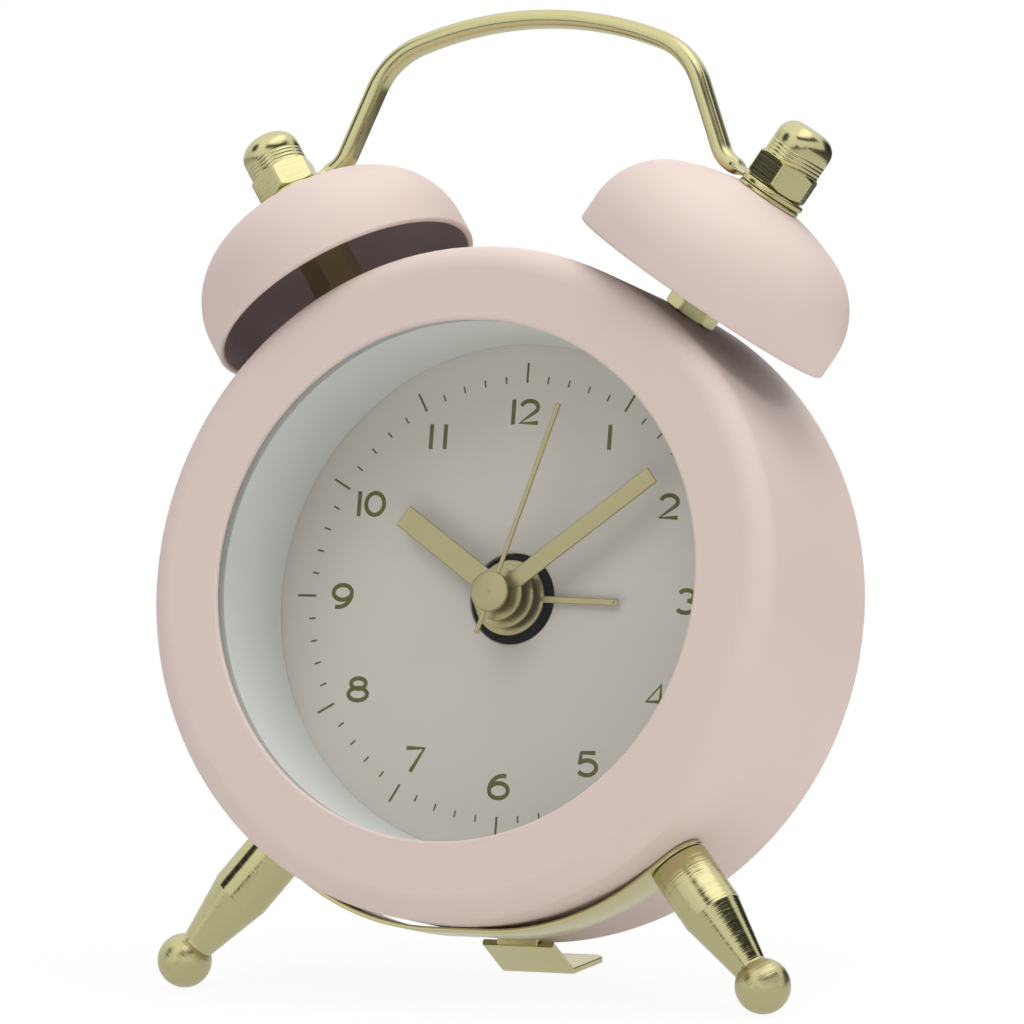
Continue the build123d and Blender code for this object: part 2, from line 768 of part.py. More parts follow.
head_recess = small_head_height + seat_gap
with BuildPart() as movement_rear:
    rear_start = plate_back + seat_gap
    with BuildSketch(at_depth(rear_start)):
        housing_outline(0)
        bay_outline(0)
    extrude(amount=-(rear_wall_back - rear_start))
    with BuildSketch(at_depth(plate_back)):
        housing_outline(housing_wall)
    extrude(amount=-(rear_wall_front - plate_back), mode=Mode.SUBTRACT)
    with BuildSketch(at_depth(plate_back)):
        bay_outline(housing_wall)
    extrude(amount=-(case_depth - plate_back), mode=Mode.SUBTRACT)
    disc(rear_wall_front, second_arbor_radius + running_gap, pivot_back - rear_wall_front,
         mode=Mode.SUBTRACT)
    for place in (third_spot, step_spot, rotor_spot):
        disc(rear_wall_front, arbor_hole, pivot_back - rear_wall_front, place, mode=Mode.SUBTRACT)
    for side in (-1, 1):
        disc(rear_wall_front, setting_hole, housing_wall + cut_overrun, setting_spot(side),
             mode=Mode.SUBTRACT)
    disc(rear_wall_front, buzzer_hole, housing_wall + cut_overrun, (buzzer_x, buzzer_z),
         mode=Mode.SUBTRACT)
    for place in screw_spots:
        disc(rear_wall_front, small_screw_radius + running_gap, housing_wall + cut_overrun, place,
             mode=Mode.SUBTRACT)
        disc(rear_wall_back - head_recess, small_head_radius + running_gap, head_recess + cut_overrun,
             place, mode=Mode.SUBTRACT)
save(movement_rear, "movement_rear")

with BuildPart() as movement_screws:
    small_screws(screw_spots, rear_wall_back - small_head_height)
save(movement_screws, "movement_screws")

with BuildPart() as gear_bridge:
    with BuildSketch(at_depth(bridge_front)):
        with BuildSketch(Plane.XY, mode=Mode.PRIVATE) as bridge_hull:
            with Locations((0, 0), *pillar_spots):
                Circle(bridge_margin)
            make_hull()
        add(bridge_hull.sketch)
        with Locations(*pillar_spots):
            Circle(pillar_pin_radius + press_gap, mode=Mode.SUBTRACT)
        Circle(second_arbor_radius + running_gap, mode=Mode.SUBTRACT)
        with Locations(third_spot):
            Circle(arbor_hole, mode=Mode.SUBTRACT)
    extrude(amount=-bridge_thickness)
    for place in (step_spot, rotor_spot):
        disc(bridge_front + bridge_thickness / 2, arbor_hole, bridge_thickness, place,
             mode=Mode.SUBTRACT)
save(gear_bridge, "gear_bridge")


# Stepping motor
with BuildPart() as stator:
    stator_outer = rotor_magnet_radius + stator_gap + stator_ring
    arm_end = stator_arm_width / 2
    with BuildSketch(at_depth(stator_front, 0, rotor_spot)):
        Circle(stator_outer)
        for way in (-1, 1):
            arm_length = arm_rise + arm_end
            with Locations((0, way * arm_length / 2)):
                Rectangle(stator_arm_width, arm_length)
            with Locations((-coil_offset / 2, way * arm_rise)):
                Rectangle(coil_offset + 2 * arm_end, stator_arm_width)
        Circle(rotor_magnet_radius + stator_gap, mode=Mode.SUBTRACT)
    extrude(amount=-stator_thickness)
    for place in motor_screw_spots:
        disc(stator_front - cut_overrun, small_screw_radius + running_gap,
             stator_thickness + 2 * cut_overrun, place, mode=Mode.SUBTRACT)
save(stator, "stator")

coil_spot = (coil_x, rotor_spot[1])
with BuildPart() as coil_core:
    with BuildSketch(at_depth(core_front, 0, coil_spot)):
        SlotOverall(2 * (coil_half_length + core_overhang), 2 * arm_end, rotation=90)
        for way in (-1, 1):
            with Locations((way * (core_width + arm_end) / 2, 0)):
                Rectangle(arm_end, 2 * coil_half_length, mode=Mode.SUBTRACT)
    extrude(amount=-core_thickness)
    for place in motor_screw_spots:
        disc(core_front - cut_overrun, small_screw_radius + running_gap,
             core_thickness + 2 * cut_overrun, place, mode=Mode.SUBTRACT)
save(coil_core, "coil_core")


def coil_plane(height):
    """Plane square to the coil's axis, local X to the right and local Y to the back."""
    centre = face.from_local_coords((coil_x, rotor_spot[1] + height, -core_middle))
    return Plane(origin=centre, x_dir=face.x_dir, z_dir=face.y_dir)


bobbin_bore = (core_width + 2 * running_gap, core_thickness + 2 * running_gap)
with BuildPart() as coil_bobbin:
    flange_gap = bobbin_flange + running_gap
    with BuildSketch(coil_plane(-coil_half_length + running_gap)):
        Circle(coil_radius)
    extrude(amount=bobbin_flange)
    with BuildSketch(coil_plane(coil_half_length - flange_gap)):
        Circle(coil_radius)
    extrude(amount=bobbin_flange)
    with BuildSketch(coil_plane(-coil_half_length + flange_gap)):
        Rectangle(bobbin_bore[0] + 2 * bobbin_wall, bobbin_bore[1] + 2 * bobbin_wall)
    extrude(amount=2 * (coil_half_length - flange_gap))
    with BuildSketch(coil_plane(-coil_half_length)):
        Rectangle(*bobbin_bore)
    extrude(amount=2 * coil_half_length, mode=Mode.SUBTRACT)
save(coil_bobbin, "coil_bobbin")

with BuildPart() as coil_winding:
    winding_end = coil_half_length - flange_gap - running_gap
    with BuildSketch(coil_plane(-winding_end)):
        Circle(winding_radius)
        Rectangle(bobbin_bore[0] + 2 * bobbin_wall + 2 * press_gap,
                  bobbin_bore[1] + 2 * bobbin_wall + 2 * press_gap, mode=Mode.SUBTRACT)
    extrude(amount=2 * winding_end)
save(coil_winding, "coil_winding")

with BuildPart() as motor_screws:
    small_screws(motor_screw_spots, core_back + seat_gap)
save(motor_screws, "motor_screws")


# Circuit and buzzer
board_back = board_front + board_thickness
with BuildPart() as circuit_board:
    with BuildSketch(at_depth(board_front, 0, (board_x, board_z))):
        RectangleRounded(board_width, board_height, board_corner)
    extrude(amount=-board_thickness)
save(circuit_board, "circuit_board")

with BuildPart() as chip:
    with BuildSketch(at_depth(board_back, 0, (board_x, board_z + chip_size / 2))):
        Circle(chip_size / 2)
    extrude(amount=-chip_height)
    chamfer(chip.faces().sort_by(case_axis)[-1].edges(), chip_edge)
save(chip, "chip")

with BuildPart() as crystal:
    crystal_centre = (board_x - crystal_length / 2, board_z - chip_size / 2 - crystal_radius)
    crystal_origin = face.from_local_coords((*crystal_centre, -board_back - crystal_radius))
    with BuildSketch(Plane(origin=crystal_origin, x_dir=face.y_dir, z_dir=face.x_dir)):
        Circle(crystal_radius)
    extrude(amount=crystal_length)
save(crystal, "crystal")

with BuildPart() as buzzer:
    buzzer_front = rear_wall_front - seat_gap - buzzer_height
    disc(buzzer_front, buzzer_radius, buzzer_height, (buzzer_x, buzzer_z))
    disc(buzzer_front + buzzer_height / 2, buzzer_hole, buzzer_height, (buzzer_x, buzzer_z),
         mode=Mode.SUBTRACT)
save(buzzer, "buzzer")


# Battery and its contacts
cell_back = cover_front - door_rest
cell_front = cell_back - cell_height
with BuildPart() as battery_cell:
    disc(cell_front + cell_step, cell_radius, cell_height - cell_step, (0, cell_z))
    chamfer(battery_cell.faces().sort_by(case_axis)[-1].edges(), cell_edge)
    disc(cell_front, cell_radius - cell_step, cell_step, (0, cell_z))
save(battery_cell, "battery_cell")

contact_half = contact_thickness / 2
with BuildPart() as negative_contact:
    base_depth = plate_back + running_gap + contact_half
    tip_depth = cell_front - running_gap - contact_half
    with BuildSketch(section):
        with BuildLine() as leaf:
            FilletPolyline((tip_depth, cell_z + contact_length / 4),
                           (tip_depth, cell_z),
                           (base_depth, cell_z - contact_length / 2),
                           (base_depth, cell_z + contact_length / 2), radius=contact_bend)
        trace(line_width=contact_thickness)
    extrude(amount=contact_width / 2, both=True)
save(negative_contact, "negative_contact")

with BuildPart() as positive_contact:
    wall_x = bay_half_width - housing_wall - running_gap - contact_half
    touch_x = cell_radius + running_gap + contact_half
    with BuildSketch(at_depth(cell_front + (cell_height - contact_width) / 2, 0, (0, cell_z))):
        with BuildLine():
            Polyline((wall_x, -contact_length / 2), (wall_x, -contact_length / 4), (touch_x, 0),
                     (wall_x, contact_length / 4), (wall_x, contact_length / 2))
        trace(line_width=contact_thickness)
    extrude(amount=-contact_width)
save(positive_contact, "positive_contact")


# Back cover and its controls
with BuildPart() as back_cover:
    disc(cover_front, skirt_radius, cover_thickness)
    with BuildSketch(at_depth(cover_front - cover_skirt_depth)):
        Circle(skirt_radius)
        Circle(skirt_inner, mode=Mode.SUBTRACT)
    extrude(amount=-(cover_skirt_depth + cover_thickness / 2))
    post_start = dial_back + seat_gap
    with BuildSketch(at_depth(post_start)):
        with PolarLocations(post_ring, post_count, start_angle=180 / post_count):
            Circle(post_radius)
    extrude(amount=-(cover_front - post_start))
    snap_back = case_depth - case_wall - seat_gap
    for turn in range(snap_count):
        start = turn * 360 / snap_count - snap_angle / 2
        with BuildSketch(spoke_section(start, 0)):
            with Locations(((cover_front + snap_back) / 2, skirt_radius)):
                Rectangle(snap_back - cover_front, 2 * snap_reach)
        revolve(axis=case_axis, revolution_arc=snap_angle)
    with BuildSketch(at_depth(cover_front - cut_overrun)):
        with Locations(setting_spot(-1), setting_spot(1)):
            Circle(setting_arbor_radius + arbor_hole_gap)
        with Locations((0, cell_z)):
            RectangleRounded(door_width + 2 * door_gap, door_height + 2 * door_gap, door_corner)
        with Locations((buzzer_x, buzzer_z)):
            with GridLocations(grille_pitch, 0, grille_count, 1):
                SlotOverall(grille_slot_length, grille_slot_width, rotation=90)
        with Locations((switch_x, switch_z)):
            Rectangle(switch_knob_length + switch_travel + 2 * switch_gap,
                      switch_knob_width + 2 * switch_gap)
    extrude(amount=-(cover_thickness + 2 * cut_overrun), mode=Mode.SUBTRACT)
    peg_x = switch_body_length / 2 - switch_peg_inset
    for way in (-1, 1):
        disc(cover_front - switch_peg_length, switch_peg_radius, switch_peg_length + seat_gap,
             (switch_x + way * peg_x, switch_z))
save(back_cover, "back_cover")

with BuildPart() as battery_door:
    with BuildSketch(at_depth(cover_front, 0, (0, cell_z))):
        RectangleRounded(door_width, door_height, door_corner)
    extrude(amount=-cover_thickness)
    prong_x = door_width / 2 - door_prong_inset
    prong_z = door_height / 2 - door_prong_inset
    with BuildSketch(at_depth(cover_front - door_prong_length, 0, (0, cell_z))):
        with GridLocations(2 * prong_x, 2 * prong_z, 2, 2):
            Circle(door_prong_radius)
    extrude(amount=-door_prong_length)
    with BuildSketch(at_depth(cover_back, 0, (0, cell_z + door_ridge_offset))):
        with GridLocations(0, door_ridge_pitch, 1, door_ridge_count):
            SlotOverall(door_ridge_length, door_ridge_width)
    extrude(amount=-door_ridge_height)
save(battery_door, "battery_door")


def setting_knob(side):
    """Fluted knob with a hollow underside, pushed on a setting arbor."""
    with BuildPart() as knob:
        disc(knob_front, knob_radius, knob_height, setting_spot(side))
        chamfer(knob.faces().sort_by(case_axis)[-1].edges(), knob_edge)
        with BuildSketch(at_depth(knob_front - cut_overrun, 0, setting_spot(side))):
            Circle(knob_radius - knob_rim)
            Circle(knob_hub, mode=Mode.SUBTRACT)
        extrude(amount=-(knob_recess + cut_overrun), mode=Mode.SUBTRACT)
        with BuildSketch(at_depth(knob_front - cut_overrun, 0, setting_spot(side))):
            with PolarLocations(knob_radius, knob_flutes):
                Rectangle(2 * knob_flute_depth, knob_flute_width)
        extrude(amount=-(knob_height + 2 * cut_overrun), mode=Mode.SUBTRACT)
        disc(knob_front - cut_overrun, setting_arbor_radius + press_gap, knob_height / 2 + cut_overrun,
             setting_spot(side), mode=Mode.SUBTRACT)
    return knob


time_knob = setting_knob(1)
save(time_knob, "time_knob")
alarm_knob = setting_knob(-1)
save(alarm_knob, "alarm_knob")

slider_back = cover_front - switch_gap
slider_front = slider_back - switch_plate_thickness
with BuildPart() as alarm_switch:
    slider_x = switch_x - switch_travel / 2
    with BuildSketch(at_depth(slider_front, 0, (slider_x, switch_z))):
        Rectangle(switch_plate_length, switch_plate_width)
    extrude(amount=-switch_plate_thickness)
    with BuildSketch(at_depth(slider_back, 0, (slider_x, switch_z))):
        Rectangle(switch_knob_length, switch_knob_width)
    extrude(amount=-(cover_back + switch_knob_stand - slider_back))
save(alarm_switch, "alarm_switch")

with BuildPart() as switch_body:
    body_back = cover_front - seat_gap
    with BuildSketch(at_depth(body_back - switch_body_height, 0, (switch_x, switch_z))):
        Rectangle(switch_body_length, switch_body_width)
    extrude(amount=-switch_body_height)
    with BuildSketch(at_depth(slider_front - switch_gap, 0, (switch_x, switch_z))):
        Rectangle(switch_plate_length + switch_travel + 2 * switch_gap,
                  switch_plate_width + 2 * switch_gap)
    extrude(amount=-cover_front, mode=Mode.SUBTRACT)
    for way in (-1, 1):
        disc(cover_front - switch_peg_length - seat_gap, switch_peg_radius + press_gap, cover_front,
             (switch_x + way * peg_x, switch_z), mode=Mode.SUBTRACT)
save(switch_body, "switch_body")


# Bells on their posts
def hexagon(flats):
    """Regular hexagon by its size across flats."""
    RegularPolygon(flats / 2, 6, major_radius=False)


def corner(flats):
    """Radius to a hexagon's corners."""
    return flats / sqrt(3)


def inner_seat(radius):
    """Where a flat face of this radius meets the inside of the case wall."""
    return sqrt((case_radius - case_wall) ** 2 - radius ** 2) - seat_gap


crown_height = bell_rim + crown_centre
shoulder_height = bell_rim + bell_skirt
shoulder_turn = degrees(atan2(shoulder_height - crown_height, shoulder_x))
seat_turn = degrees(acos(bell_seat_radius / crown_radius))
inner_crown = crown_radius - bell_wall
hole_turn = degrees(acos(stud_hole / inner_crown))
post_end = crown_height + sqrt(inner_crown ** 2 - corner(post_flats) ** 2) - seat_gap
nut_seat = inner_seat(corner(nut_flats))


def bell(side):
    """Round dome with a straight skirt and a hole for its stud."""
    plane = spoke_section(side * bell_angle, bell_depth)
    with BuildPart() as dome:
        with BuildSketch(plane):
            with BuildLine():
                Line((bell_radius, bell_rim), (bell_radius, shoulder_height))
                CenterArc((shoulder_x, shoulder_height), bell_shoulder, 0, shoulder_turn)
                outer = CenterArc((0, crown_height), crown_radius, shoulder_turn,
                                  seat_turn - shoulder_turn)
                Line(outer @ 1, (stud_hole, bell_seat))
                inner = CenterArc((0, crown_height), inner_crown, shoulder_turn,
                                  hole_turn - shoulder_turn)
                Line((stud_hole, bell_seat), inner @ 1)
                CenterArc((shoulder_x, shoulder_height), bell_shoulder - bell_wall, 0, shoulder_turn)
                Line((bell_radius - bell_wall, shoulder_height), (bell_radius - bell_wall, bell_rim))
                Line((bell_radius - bell_wall, bell_rim), (bell_radius, bell_rim))
            make_face()
        revolve(axis=Axis(plane.origin, plane.y_dir))
    return dome


left_bell = bell(-1)
save(left_bell, "left_bell")
right_bell = bell(1)
save(right_bell, "right_bell")


def bell_place(side, distance):
    """Plane square to a bell's axis at a distance from the case axis."""
    return spoke_face(side * bell_angle, bell_depth, distance)


with BuildPart() as bell_posts:
    for side in (-1, 1):
        with BuildSketch(bell_place(side, case_radius + seat_gap)):
            hexagon(post_flats)
            Circle(stud_hole, mode=Mode.SUBTRACT)
        extrude(amount=post_end - case_radius - seat_gap)
save(bell_posts, "bell_posts")

with BuildPart() as bell_nuts:
    for side in (-1, 1):
        with BuildSketch(bell_place(side, nut_seat - thin_nut_height)):
            hexagon(nut_flats)
            Circle(stud_radius + press_gap, mode=Mode.SUBTRACT)
        extrude(amount=thin_nut_height)
save(bell_nuts, "bell_nuts")

with BuildPart() as bell_studs:
    stud_start = nut_seat - thin_nut_height - stud_tail
    for side in (-1, 1):
        with BuildSketch(bell_place(side, stud_start)):
            Circle(stud_radius)
        extrude(amount=cap_nut_seat + cap_socket - cap_socket_gap - stud_start)
save(bell_studs, "bell_studs")

with BuildPart() as handle_washers:
    for side in (-1, 1):
        with BuildSketch(bell_place(side, washer_seat)):
            Circle(washer_radius)
            Circle(stud_hole, mode=Mode.SUBTRACT)
        extrude(amount=washer_thickness)
save(handle_washers, "handle_washers")


def cap_nut(side):
    """Domed nut: a hexagon cut from round bar, with a blind threaded hole."""
    plane = spoke_section(side * bell_angle, bell_depth)
    axis = Axis(plane.origin, plane.y_dir)
    with BuildPart() as nut:
        with BuildSketch(plane):
            with BuildLine():
                face_edge = nut_flats / 2 - cap_hex_edge
                beyond = corner(nut_flats) + cap_hex_edge
                top = cap_nut_seat + cap_hex_height
                Polyline((0, cap_nut_seat), (face_edge, cap_nut_seat),
                         (beyond, cap_nut_seat + cap_hex_chamfer), (beyond, top - cap_hex_chamfer),
                         (face_edge, top), (0, top), close=True)
            make_face()
        revolve(axis=axis)
        with BuildSketch(bell_place(side, cap_nut_seat)):
            hexagon(nut_flats)
        extrude(amount=cap_hex_height, mode=Mode.INTERSECT)
        with BuildSketch(plane):
            with BuildLine():
                crown = top + cap_dome_height
                inside = cap_dome_radius - cap_dome_corner
                Polyline((inside, crown), (0, crown), (0, top - cap_hex_chamfer),
                         (cap_dome_radius, top - cap_hex_chamfer),
                         (cap_dome_radius, crown - cap_dome_corner))
                RadiusArc((inside, crown), (cap_dome_radius, crown - cap_dome_corner), cap_dome_corner)
            make_face()
        revolve(axis=axis)
        with BuildSketch(bell_place(side, cap_nut_seat)):
            Circle(stud_radius + press_gap)
        extrude(amount=cap_socket, mode=Mode.SUBTRACT)
    return nut


with BuildPart() as cap_nuts:
    for side in (-1, 1):
        add(cap_nut(side).part)
save(cap_nuts, "cap_nuts")


# Handle: a bar bent over the bells, flattened to an eye on each
eye_middle = eye_seat + eye_thickness / 2
slope = radians(bell_angle)
shoulder_z = handle_top - handle_arch + sqrt(handle_arch ** 2 - handle_shoulder_x ** 2)
bar_plane = at_depth(bell_depth)


def beside_eye(side, along):
    """Point on the bar's middle line at a distance from an eye's centre."""
    return (side * (eye_middle * sin(slope) - along * cos(slope)),
            eye_middle * cos(slope) + along * sin(slope))


def bar_section(side, along):
    """Plane square to the bar beside an eye: local X runs across the bar's width."""
    x, z = beside_eye(side, along)
    return leaned(Plane(origin=(x, bell_depth, z), x_dir=(0, 1, 0),
                        z_dir=(side * cos(slope), 0, -sin(slope))))


with BuildPart() as handle:
    with BuildLine(bar_plane) as bar_line:
        Polyline(beside_eye(-1, eye_neck), beside_eye(-1, handle_heel), (-handle_shoulder_x, shoulder_z))
        ThreePointArc((-handle_shoulder_x, shoulder_z), (0, handle_top), (handle_shoulder_x, shoulder_z))
        Polyline((handle_shoulder_x, shoulder_z), beside_eye(1, handle_heel), beside_eye(1, eye_neck))
        corners = [bar_plane.from_local_coords(place) for place in
                   ((handle_shoulder_x, shoulder_z), (-handle_shoulder_x, shoulder_z))]
        fillet([bar_line.vertices().sort_by_distance(place)[0] for place in corners],
               handle_shoulder_bend)
        heels = [bar_plane.from_local_coords(beside_eye(side, handle_heel)) for side in (-1, 1)]
        fillet([bar_line.vertices().sort_by_distance(place)[0] for place in heels], handle_heel_bend)
    with BuildSketch(bar_section(-1, eye_neck)):
        RectangleRounded(handle_width, handle_thickness, handle_corner)
    sweep(path=bar_line.line)
    for side in (-1, 1):
        with BuildSketch(bar_section(side, eye_neck)):
            RectangleRounded(handle_width, handle_thickness, handle_corner)
        with BuildSketch(bar_section(side, eye_neck_end)):
            RectangleRounded(eye_neck_width, eye_thickness, eye_corner)
        loft()
        with BuildSketch(bar_section(side, eye_neck_end)):
            RectangleRounded(eye_neck_width, eye_thickness, eye_corner)
        extrude(amount=eye_neck_end - eye_radius / 2)
        with BuildSketch(bell_place(side, eye_seat)):
            Circle(eye_radius)
        extrude(amount=eye_thickness)
    for side in (-1, 1):
        with BuildSketch(bell_place(side, eye_seat - cut_overrun)):
            Circle(stud_hole)
        extrude(amount=eye_thickness + 2 * cut_overrun, mode=Mode.SUBTRACT)
save(handle, "handle")


# Legs, turned from round bar, and the screws that hold them
leg_screw_seat = inner_seat(screw_head_radius)


def leg(side):
    """Straight shank, long taper and a ball, with a blind threaded hole on top."""
    plane = spoke_section(180 - side * leg_angle, leg_depth)
    neck = ball_distance - sqrt(ball_radius ** 2 - leg_neck_radius ** 2)
    with BuildPart() as turned:
        with BuildSketch(plane):
            with BuildLine():
                Polyline((leg_neck_radius, neck), (leg_radius, leg_seat + leg_straight),
                         (leg_radius, leg_seat + leg_edge), (leg_radius - leg_edge, leg_seat),
                         (0, leg_seat), (0, ball_distance + ball_radius))
                ThreePointArc((0, ball_distance + ball_radius), (ball_radius, ball_distance),
                              (leg_neck_radius, neck))
            make_face()
        revolve(axis=Axis(plane.origin, plane.y_dir))
        with BuildSketch(spoke_face(180 - side * leg_angle, leg_depth, leg_seat)):
            Circle(stud_radius + press_gap)
        extrude(amount=leg_screw_depth, mode=Mode.SUBTRACT)
    return turned


left_leg = leg(-1)
save(left_leg, "left_leg")
right_leg = leg(1)
save(right_leg, "right_leg")

with BuildPart() as leg_screws:
    for side in (-1, 1):
        with BuildSketch(spoke_face(180 - side * leg_angle, leg_depth, leg_screw_seat - screw_head_height)):
            Circle(screw_head_radius)
        extrude(amount=screw_head_height)
        with BuildSketch(spoke_face(180 - side * leg_angle, leg_depth, leg_screw_seat)):
            Circle(stud_radius)
        extrude(amount=leg_seat + leg_screw_depth - leg_screw_play - leg_screw_seat)
        with BuildSketch(spoke_face(180 - side * leg_angle, leg_depth, leg_screw_seat - screw_head_height)):
            Rectangle(screw_slot_width, 2 * screw_head_radius)
        extrude(amount=screw_slot_depth, mode=Mode.SUBTRACT)
save(leg_screws, "leg_screws")


# Band: a thin strip from leg to leg that touches the case only at its lowest line
with BuildPart() as leg_band:
    turn = radians(leg_angle)
    middle_radius = band_inner + band_thickness / 2
    seat_x = middle_radius * sin(turn)
    seat_z = -middle_radius * cos(turn)
    end_x = seat_x - leg_radius * cos(turn)
    end_z = seat_z - leg_radius * sin(turn)
    sag_radius = (end_z + middle_radius) / (1 - cos(turn))
    flat_x = end_x - sag_radius * sin(turn)
    band_plane = at_depth(leg_depth)
    with BuildSketch(band_plane):
        with BuildLine():
            Line((-seat_x, seat_z), (-end_x, end_z))
            RadiusArc((-end_x, end_z), (-flat_x, -middle_radius), -sag_radius)
            Line((-flat_x, -middle_radius), (flat_x, -middle_radius))
            RadiusArc((flat_x, -middle_radius), (end_x, end_z), -sag_radius)
            Line((end_x, end_z), (seat_x, seat_z))
        trace(line_width=band_thickness)
    extrude(amount=leg_radius, both=True)
    for side in (-1, 1):
        with BuildSketch(spoke_face(180 - side * leg_angle, leg_depth, band_inner)):
            Circle(leg_radius)
        extrude(amount=band_thickness)
        with BuildSketch(spoke_face(180 - side * leg_angle, leg_depth, band_inner - cut_overrun)):
            Circle(stud_hole)
        extrude(amount=band_thickness + 2 * cut_overrun, mode=Mode.SUBTRACT)
save(leg_band, "leg_band")


# Rear foot: a bent plate with a tongue that hooks through the case wall
def floor_line(depth):
    """Height, above the case axis, of the middle of a plate that lies on the floor."""
    return (lean_sin * depth - axis_height + foot_thickness / 2) / lean_cos


with BuildPart() as rear_foot:
    neck_depth = foot_front + slot_half
    neck_height = -(case_radius + foot_drop)
    tongue_height = -(case_radius - case_wall - tongue_slack - foot_thickness / 2)
    with BuildSketch(section):
        with BuildLine():
            FilletPolyline((neck_depth, neck_height), (foot_heel, floor_line(foot_heel)),
                           (foot_end, floor_line(foot_end)), radius=foot_bend)
        trace(line_width=foot_thickness)
    extrude(amount=foot_width / 2, both=True)
    fillet(rear_foot.faces().sort_by(case_axis)[-1].edges().sort_by(SortBy.LENGTH)[:2], foot_corner)
    with BuildSketch(section):
        with BuildLine():
            FilletPolyline((neck_depth - tongue_length, tongue_height), (neck_depth, tongue_height),
                           (neck_depth, neck_height - foot_thickness / 2), radius=tongue_bend)
        trace(line_width=foot_thickness)
    extrude(amount=tongue_width / 2, both=True)
save(rear_foot, "rear_foot")
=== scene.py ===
"""Looks of a twin-bell desk clock: finishes for its solids, smooth turned and bent fittings,
the printed dial, and a plain studio round it. Shapes are modelled in millimetres about the
piece's own axis, then placed and scaled to metres."""
from math import acos, atan2, cos, degrees, hypot, pi, radians, sin, sqrt, tan

import bpy
from mathutils import Matrix, Vector


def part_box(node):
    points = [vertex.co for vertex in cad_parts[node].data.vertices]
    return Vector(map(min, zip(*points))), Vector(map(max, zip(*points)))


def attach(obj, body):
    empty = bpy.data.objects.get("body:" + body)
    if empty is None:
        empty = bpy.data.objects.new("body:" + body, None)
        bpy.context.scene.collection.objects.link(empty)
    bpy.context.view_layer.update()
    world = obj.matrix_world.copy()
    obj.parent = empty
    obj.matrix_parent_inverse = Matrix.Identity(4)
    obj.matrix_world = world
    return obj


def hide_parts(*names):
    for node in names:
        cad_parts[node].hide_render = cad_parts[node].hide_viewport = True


bl_info = {
    "name": "Twin-bell desk clock",
    "version": (1, 0, 0),
    "blender": (4, 5, 0),
    "location": "View3D > Sidebar > Desk clock",
    "description": "Dresses the solids of a twin-bell desk clock and sets up its studio",
    "category": "Object",
}

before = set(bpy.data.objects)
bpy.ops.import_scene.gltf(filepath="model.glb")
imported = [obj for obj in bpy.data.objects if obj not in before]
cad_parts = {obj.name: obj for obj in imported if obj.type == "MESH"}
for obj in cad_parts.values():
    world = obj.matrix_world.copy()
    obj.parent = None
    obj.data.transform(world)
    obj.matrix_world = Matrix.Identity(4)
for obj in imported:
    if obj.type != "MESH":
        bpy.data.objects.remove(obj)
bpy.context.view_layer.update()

# Stance and depths of the clock, in millimetres and degrees
LEAN = radians(14)
LENS_MIDDLE = 1.2          # depth of the lens's middle behind the bezel plane
DIAL_DEPTH = 12.95
CASE_RADIUS = 30.0
BELL_ANGLE, BELL_DEPTH = 33.1, 10.5
LEG_ANGLE, LEG_DEPTH = 39.8, 9.2
SEAT_GAP = 0.05
STUD_HOLE = 1.65
THREAD = 1.51              # radius of the tapped holes
MILLIMETRE = 0.001

# Bell: a straight skirt, a shoulder arc and a crown arc, measured from the case's axis
BELL_RIM, BELL_HEIGHT, BELL_RADIUS, BELL_WALL = 32.0, 10.8, 12.8, 0.6
BELL_SKIRT, BELL_SHOULDER, BELL_FLAT = 2.3, 7.3, 3.2
SHOULDER_X = BELL_RADIUS - BELL_SHOULDER
CROWN_DROP = BELL_HEIGHT - BELL_SKIRT
CROWN = ((SHOULDER_X ** 2 + CROWN_DROP ** 2 - BELL_SHOULDER ** 2)
         / (2 * (CROWN_DROP - BELL_SHOULDER)))
CROWN_Z = BELL_RIM + BELL_HEIGHT - CROWN
BELL_SEAT = CROWN_Z + sqrt(CROWN ** 2 - BELL_FLAT ** 2)
WASHER_SEAT, WASHER = BELL_SEAT + SEAT_GAP, 0.35
EYE_SEAT, EYE = WASHER_SEAT + WASHER + SEAT_GAP, 0.6
CAP_SEAT = EYE_SEAT + EYE + SEAT_GAP
COVER_FRONT, COVER_BACK, KNOB_FRONT = 21.75, 23.35, 23.75
DIAL_RADIUS = 25.8
SETTING_X, SETTING_Z, CELL_Z = 5.196, -3.0, -15.3
SLIDER_BACK, SWITCH_X, SWITCH_Z = COVER_FRONT - 0.1, -7.2, 19.2
BAND, BAND_WIDTH = 0.45, 5.4
BAND_INNER = CASE_RADIUS + SEAT_GAP
LEG_SEAT = BAND_INNER + BAND + SEAT_GAP

# Camera: its place and axes in the clock's own frame, and its focal length in the picture's pixels
CAMERA_PLACE = (228.315, -476.072, -64.218)
CAMERA_RIGHT = (0.9073709, 0.4143848, 0.0704508)
CAMERA_UP = (-0.0084229, -0.149649, 0.9887033)
FOCUS_PIXELS, PICTURE_PIXELS, SENSOR = 6068.85, 1024, 36.0

# Lamps: name, place and width in metres, power in watts
LAMPS = (("key", (-0.05, -0.7, 0.95), 0.7, 3.1), ("top", (0.1, 0.1, 1.0), 0.8, 6.0),
         ("fill", (0.95, -0.2, 0.7), 0.6, 3.2), ("back", (-0.3, 0.9, 0.6), 0.7, 1.5))
LAMP_AIM = (0, 0, 0.042)
AMBIENT = 0.33             # strength of the even light

